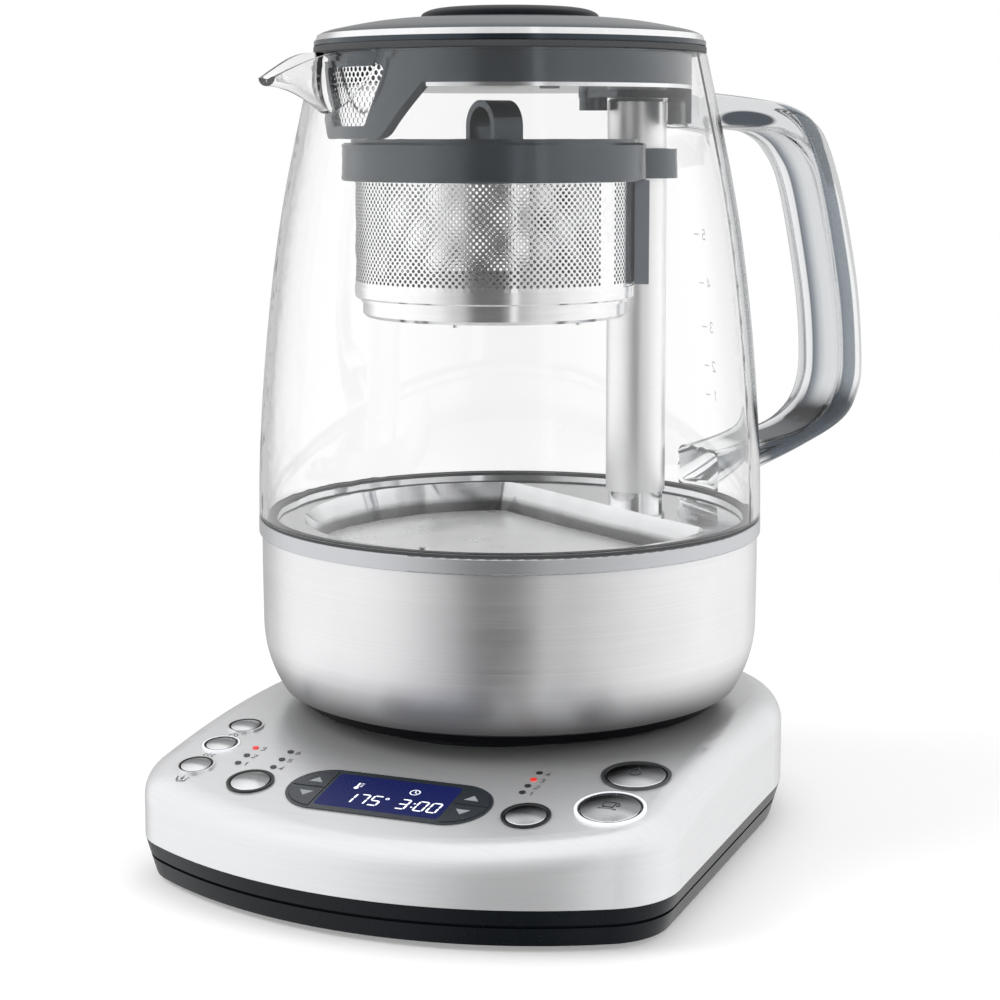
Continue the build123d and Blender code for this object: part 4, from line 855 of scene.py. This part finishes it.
drop = Ink()
drop.stroke([(1.7 * sin(radians(a)), -0.9 - 1.7 * cos(radians(a))) for a in range(-130, 131, 20)] + [(0, 2.6)],
            0.42, closed=True)
drop.make("large_button_upper_mark", lambda x, y: crown_point(LARGE_UPPER, x, y), "large_button_upper",
          print_dark)
cup = Ink()
cup.stroke([(-2.2, 1.2), (-1.7, -1.8), (1.3, -1.8), (1.8, 1.2)], 0.42, closed=True)
cup.arc(1.9, 0.1, 1.0, -80, 80, 0.38, 10)
cup.stroke([(-2.9, -2.7), (2.6, -2.7)], 0.38)
cup.make("large_button_lower_mark", lambda x, y: crown_point(LARGE_LOWER, x, y), "large_button_lower",
         print_dark)


# ---------------------------------------------------------------- level marks on the glass
def glass_point(x, y):
    """x is an arc length from the handle, y a height; the mark lies on the outside of the glass."""
    radius = glass_radius(y)
    angle = pi / 2 - JUG_TURN + x / radius
    return Vector((cos(angle) * (radius + GLASS_INK), sin(angle) * (radius + GLASS_INK), y)) * MM


LEVEL_HEIGHTS, LEVEL_FIGURE = (138.6, 148.8, 162.4, 177.6, 194.5), 3.4
levels = Ink()
for order, height in enumerate(LEVEL_HEIGHTS):
    levels.stroke([(-8.2, height), (-5.0, height)], 0.36)
    levels.digit(str(order + 1), -12.4, height - LEVEL_FIGURE / 2, LEVEL_FIGURE, 0.42)
levels.make("level_marks", glass_point, "jug", print_pale)


# ---------------------------------------------------------------- stage and light
def stage_floor(half=6.0, grey=0.80, glow_power=0.26, fade=(0.22, 0.5)):
    """White floor that keeps the object's shadow and fades into the background between two distances.

    Shiny surfaces look through it, at the studio below."""
    mesh = bpy.data.meshes.new("floor")
    mesh.from_pydata([(-half, -half, 0), (half, -half, 0), (half, half, 0), (-half, half, 0)], [], [(0, 1, 2, 3)])
    made = bpy.data.objects.new("floor", mesh)
    bpy.context.scene.collection.objects.link(made)
    finish = bpy.data.materials.new("floor")
    finish.use_nodes = True
    tree = Tree(finish)
    base = tree.node("ShaderNodeBsdfDiffuse", sockets={"Color": rgba(grey)})
    glow = tree.node("ShaderNodeEmission", sockets={"Color": rgba(1.0)})
    light = tree.node("ShaderNodeLightPath")
    seen = tree.maths("MAXIMUM", light.outputs["Is Camera Ray"], light.outputs["Is Transmission Ray"])
    tree.join(tree.maths("MULTIPLY", seen, glow_power), glow.inputs["Strength"])
    both = tree.node("ShaderNodeAddShader")
    tree.join(base.outputs["BSDF"], both.inputs[0])
    tree.join(glow.outputs["Emission"], both.inputs[1])
    place = tree.node("ShaderNodeTexCoord").outputs["Object"]
    reach = tree.node("ShaderNodeVectorMath", {0: place}, operation="LENGTH")
    away = tree.ramp(reach.outputs["Value"], [(fade[0], 0.0), (fade[1], 1.0)])
    pale = tree.node("ShaderNodeEmission", sockets={"Color": rgba(1.0), "Strength": 1.0})
    spread = tree.node("ShaderNodeMixShader", {"Fac": away})
    tree.join(both.outputs["Shader"], spread.inputs[1])
    tree.join(pale.outputs["Emission"], spread.inputs[2])
    shiny = tree.maths("MINIMUM", light.outputs["Glossy Depth"], 1.0)
    mix = tree.node("ShaderNodeMixShader", {"Fac": shiny})
    tree.join(spread.outputs["Shader"], mix.inputs[1])
    tree.join(tree.node("ShaderNodeBsdfTransparent").outputs["BSDF"], mix.inputs[2])
    tree.node("ShaderNodeOutputMaterial", {"Surface": mix.outputs["Shader"]})
    made.data.materials.append(finish)


stage_floor()

world = bpy.data.worlds.new("studio")
bpy.context.scene.world = world
world.use_nodes = True
tree = Tree(world)
way = tree.node("ShaderNodeSeparateXYZ", {"Vector": tree.node("ShaderNodeTexCoord").outputs["Generated"]})
turn = tree.maths("ARCTAN2", way.outputs["Y"], way.outputs["X"])
around = tree.span(turn, 0.0, 1.0, -pi, pi)
bands = tree.ramp(around, [(0.0, 1.0), (0.10, 1.0), (0.161, 0.90), (0.225, 0.55), (0.272, 0.10), (0.322, 0.10),
                           (0.345, 0.26), (0.353, 0.85), (0.362, 0.85), (0.370, 0.46), (0.428, 0.68),
                           (0.503, 0.88), (0.58, 1.0), (0.69, 0.94), (0.76, 0.56), (0.84, 0.44), (0.905, 0.5),
                           (0.975, 1.0)])
# The bands give way to an even pale grey toward the top
rise = tree.span(way.outputs["Z"], 0.0, 1.0, 0.30, 0.85)
upper = tree.node("ShaderNodeMix", {"Factor": rise}, data_type="RGBA")
tree.join(bands, upper.inputs["A"])
upper.inputs["B"].default_value = rgba(0.95)
path = tree.node("ShaderNodeLightPath")
flags = tree.ramp(around, [(0.0, 0.95), (0.16, 1.0), (0.28, 0.62), (0.4, 0.9), (0.5, 0.66), (0.6, 1.0),
                           (0.7, 0.62), (0.81, 1.0), (0.9, 0.62)])


def sky(colour, power):
    """One layer of the studio: a plain grey level or a pattern of them."""
    made = tree.node("ShaderNodeBackground", sockets={"Strength": power})
    if isinstance(colour, float):
        made.inputs["Color"].default_value = rgba(colour)
    else:
        tree.join(colour, made.inputs["Color"])
    return made.outputs["Background"]


def layered(factor, below, above):
    """One layer of the studio over another, where the factor is 1."""
    made = tree.node("ShaderNodeMixShader", {"Fac": factor})
    tree.join(below, made.inputs[1])
    tree.join(above, made.inputs[2])
    return made.outputs["Shader"]


# Diffuse light is plain; shiny surfaces see the bands, inner reflections of clear parts see darker flags,
# and whatever looks straight out or straight through glass sees white
met_shine = tree.maths("MINIMUM", path.outputs["Glossy Depth"], 1.0)
few_walls = tree.maths("LESS_THAN", path.outputs["Transmission Depth"], 3.0)
inner = tree.maths("MULTIPLY", tree.maths("MULTIPLY", path.outputs["Is Transmission Ray"], met_shine), few_walls)
plain_through = tree.maths("MULTIPLY", path.outputs["Is Transmission Ray"], tree.maths("SUBTRACT", 1.0, met_shine))
PLAIN_LIGHT, BAND_LIGHT = 0.62, 1.14
studio = layered(met_shine, sky(1.0, PLAIN_LIGHT), sky(upper.outputs["Result"], BAND_LIGHT))
studio = layered(inner, studio, sky(flags, 1.0))
studio = layered(tree.maths("MAXIMUM", path.outputs["Is Camera Ray"], plain_through), studio, sky(1.0, 1.0))
tree.node("ShaderNodeOutputWorld", {"Surface": studio})


def lamp(name, place, aim, size, power):
    """Soft box turned toward a point; neither shiny nor clear surfaces show it."""
    data = bpy.data.lights.new(name, "AREA")
    data.shape = "RECTANGLE"
    data.size, data.size_y = size
    data.energy = power
    made = bpy.data.objects.new(name, data)
    made.location = place
    made.rotation_euler = (Vector(aim) - Vector(place)).to_track_quat("-Z", "Y").to_euler()
    made.visible_glossy = False
    made.visible_transmission = False
    bpy.context.scene.collection.objects.link(made)


lamp("key", (-0.9, -0.7, 1.1), (0, 0, 0.12), (0.7, 0.7), 8.0)
lamp("top", (0.05, 0.15, 1.3), (0, 0, 0.1), (0.8, 0.8), 3.2)
lamp("side", (1.1, -0.1, 0.6), (0, 0, 0.15), (0.4, 0.8), 2.5)
lamp("front", (0.35, -1.2, 0.30), (0, -0.08, 0.05), (0.6, 0.3), 2.5)

bpy.context.scene.view_settings.view_transform = "Standard"
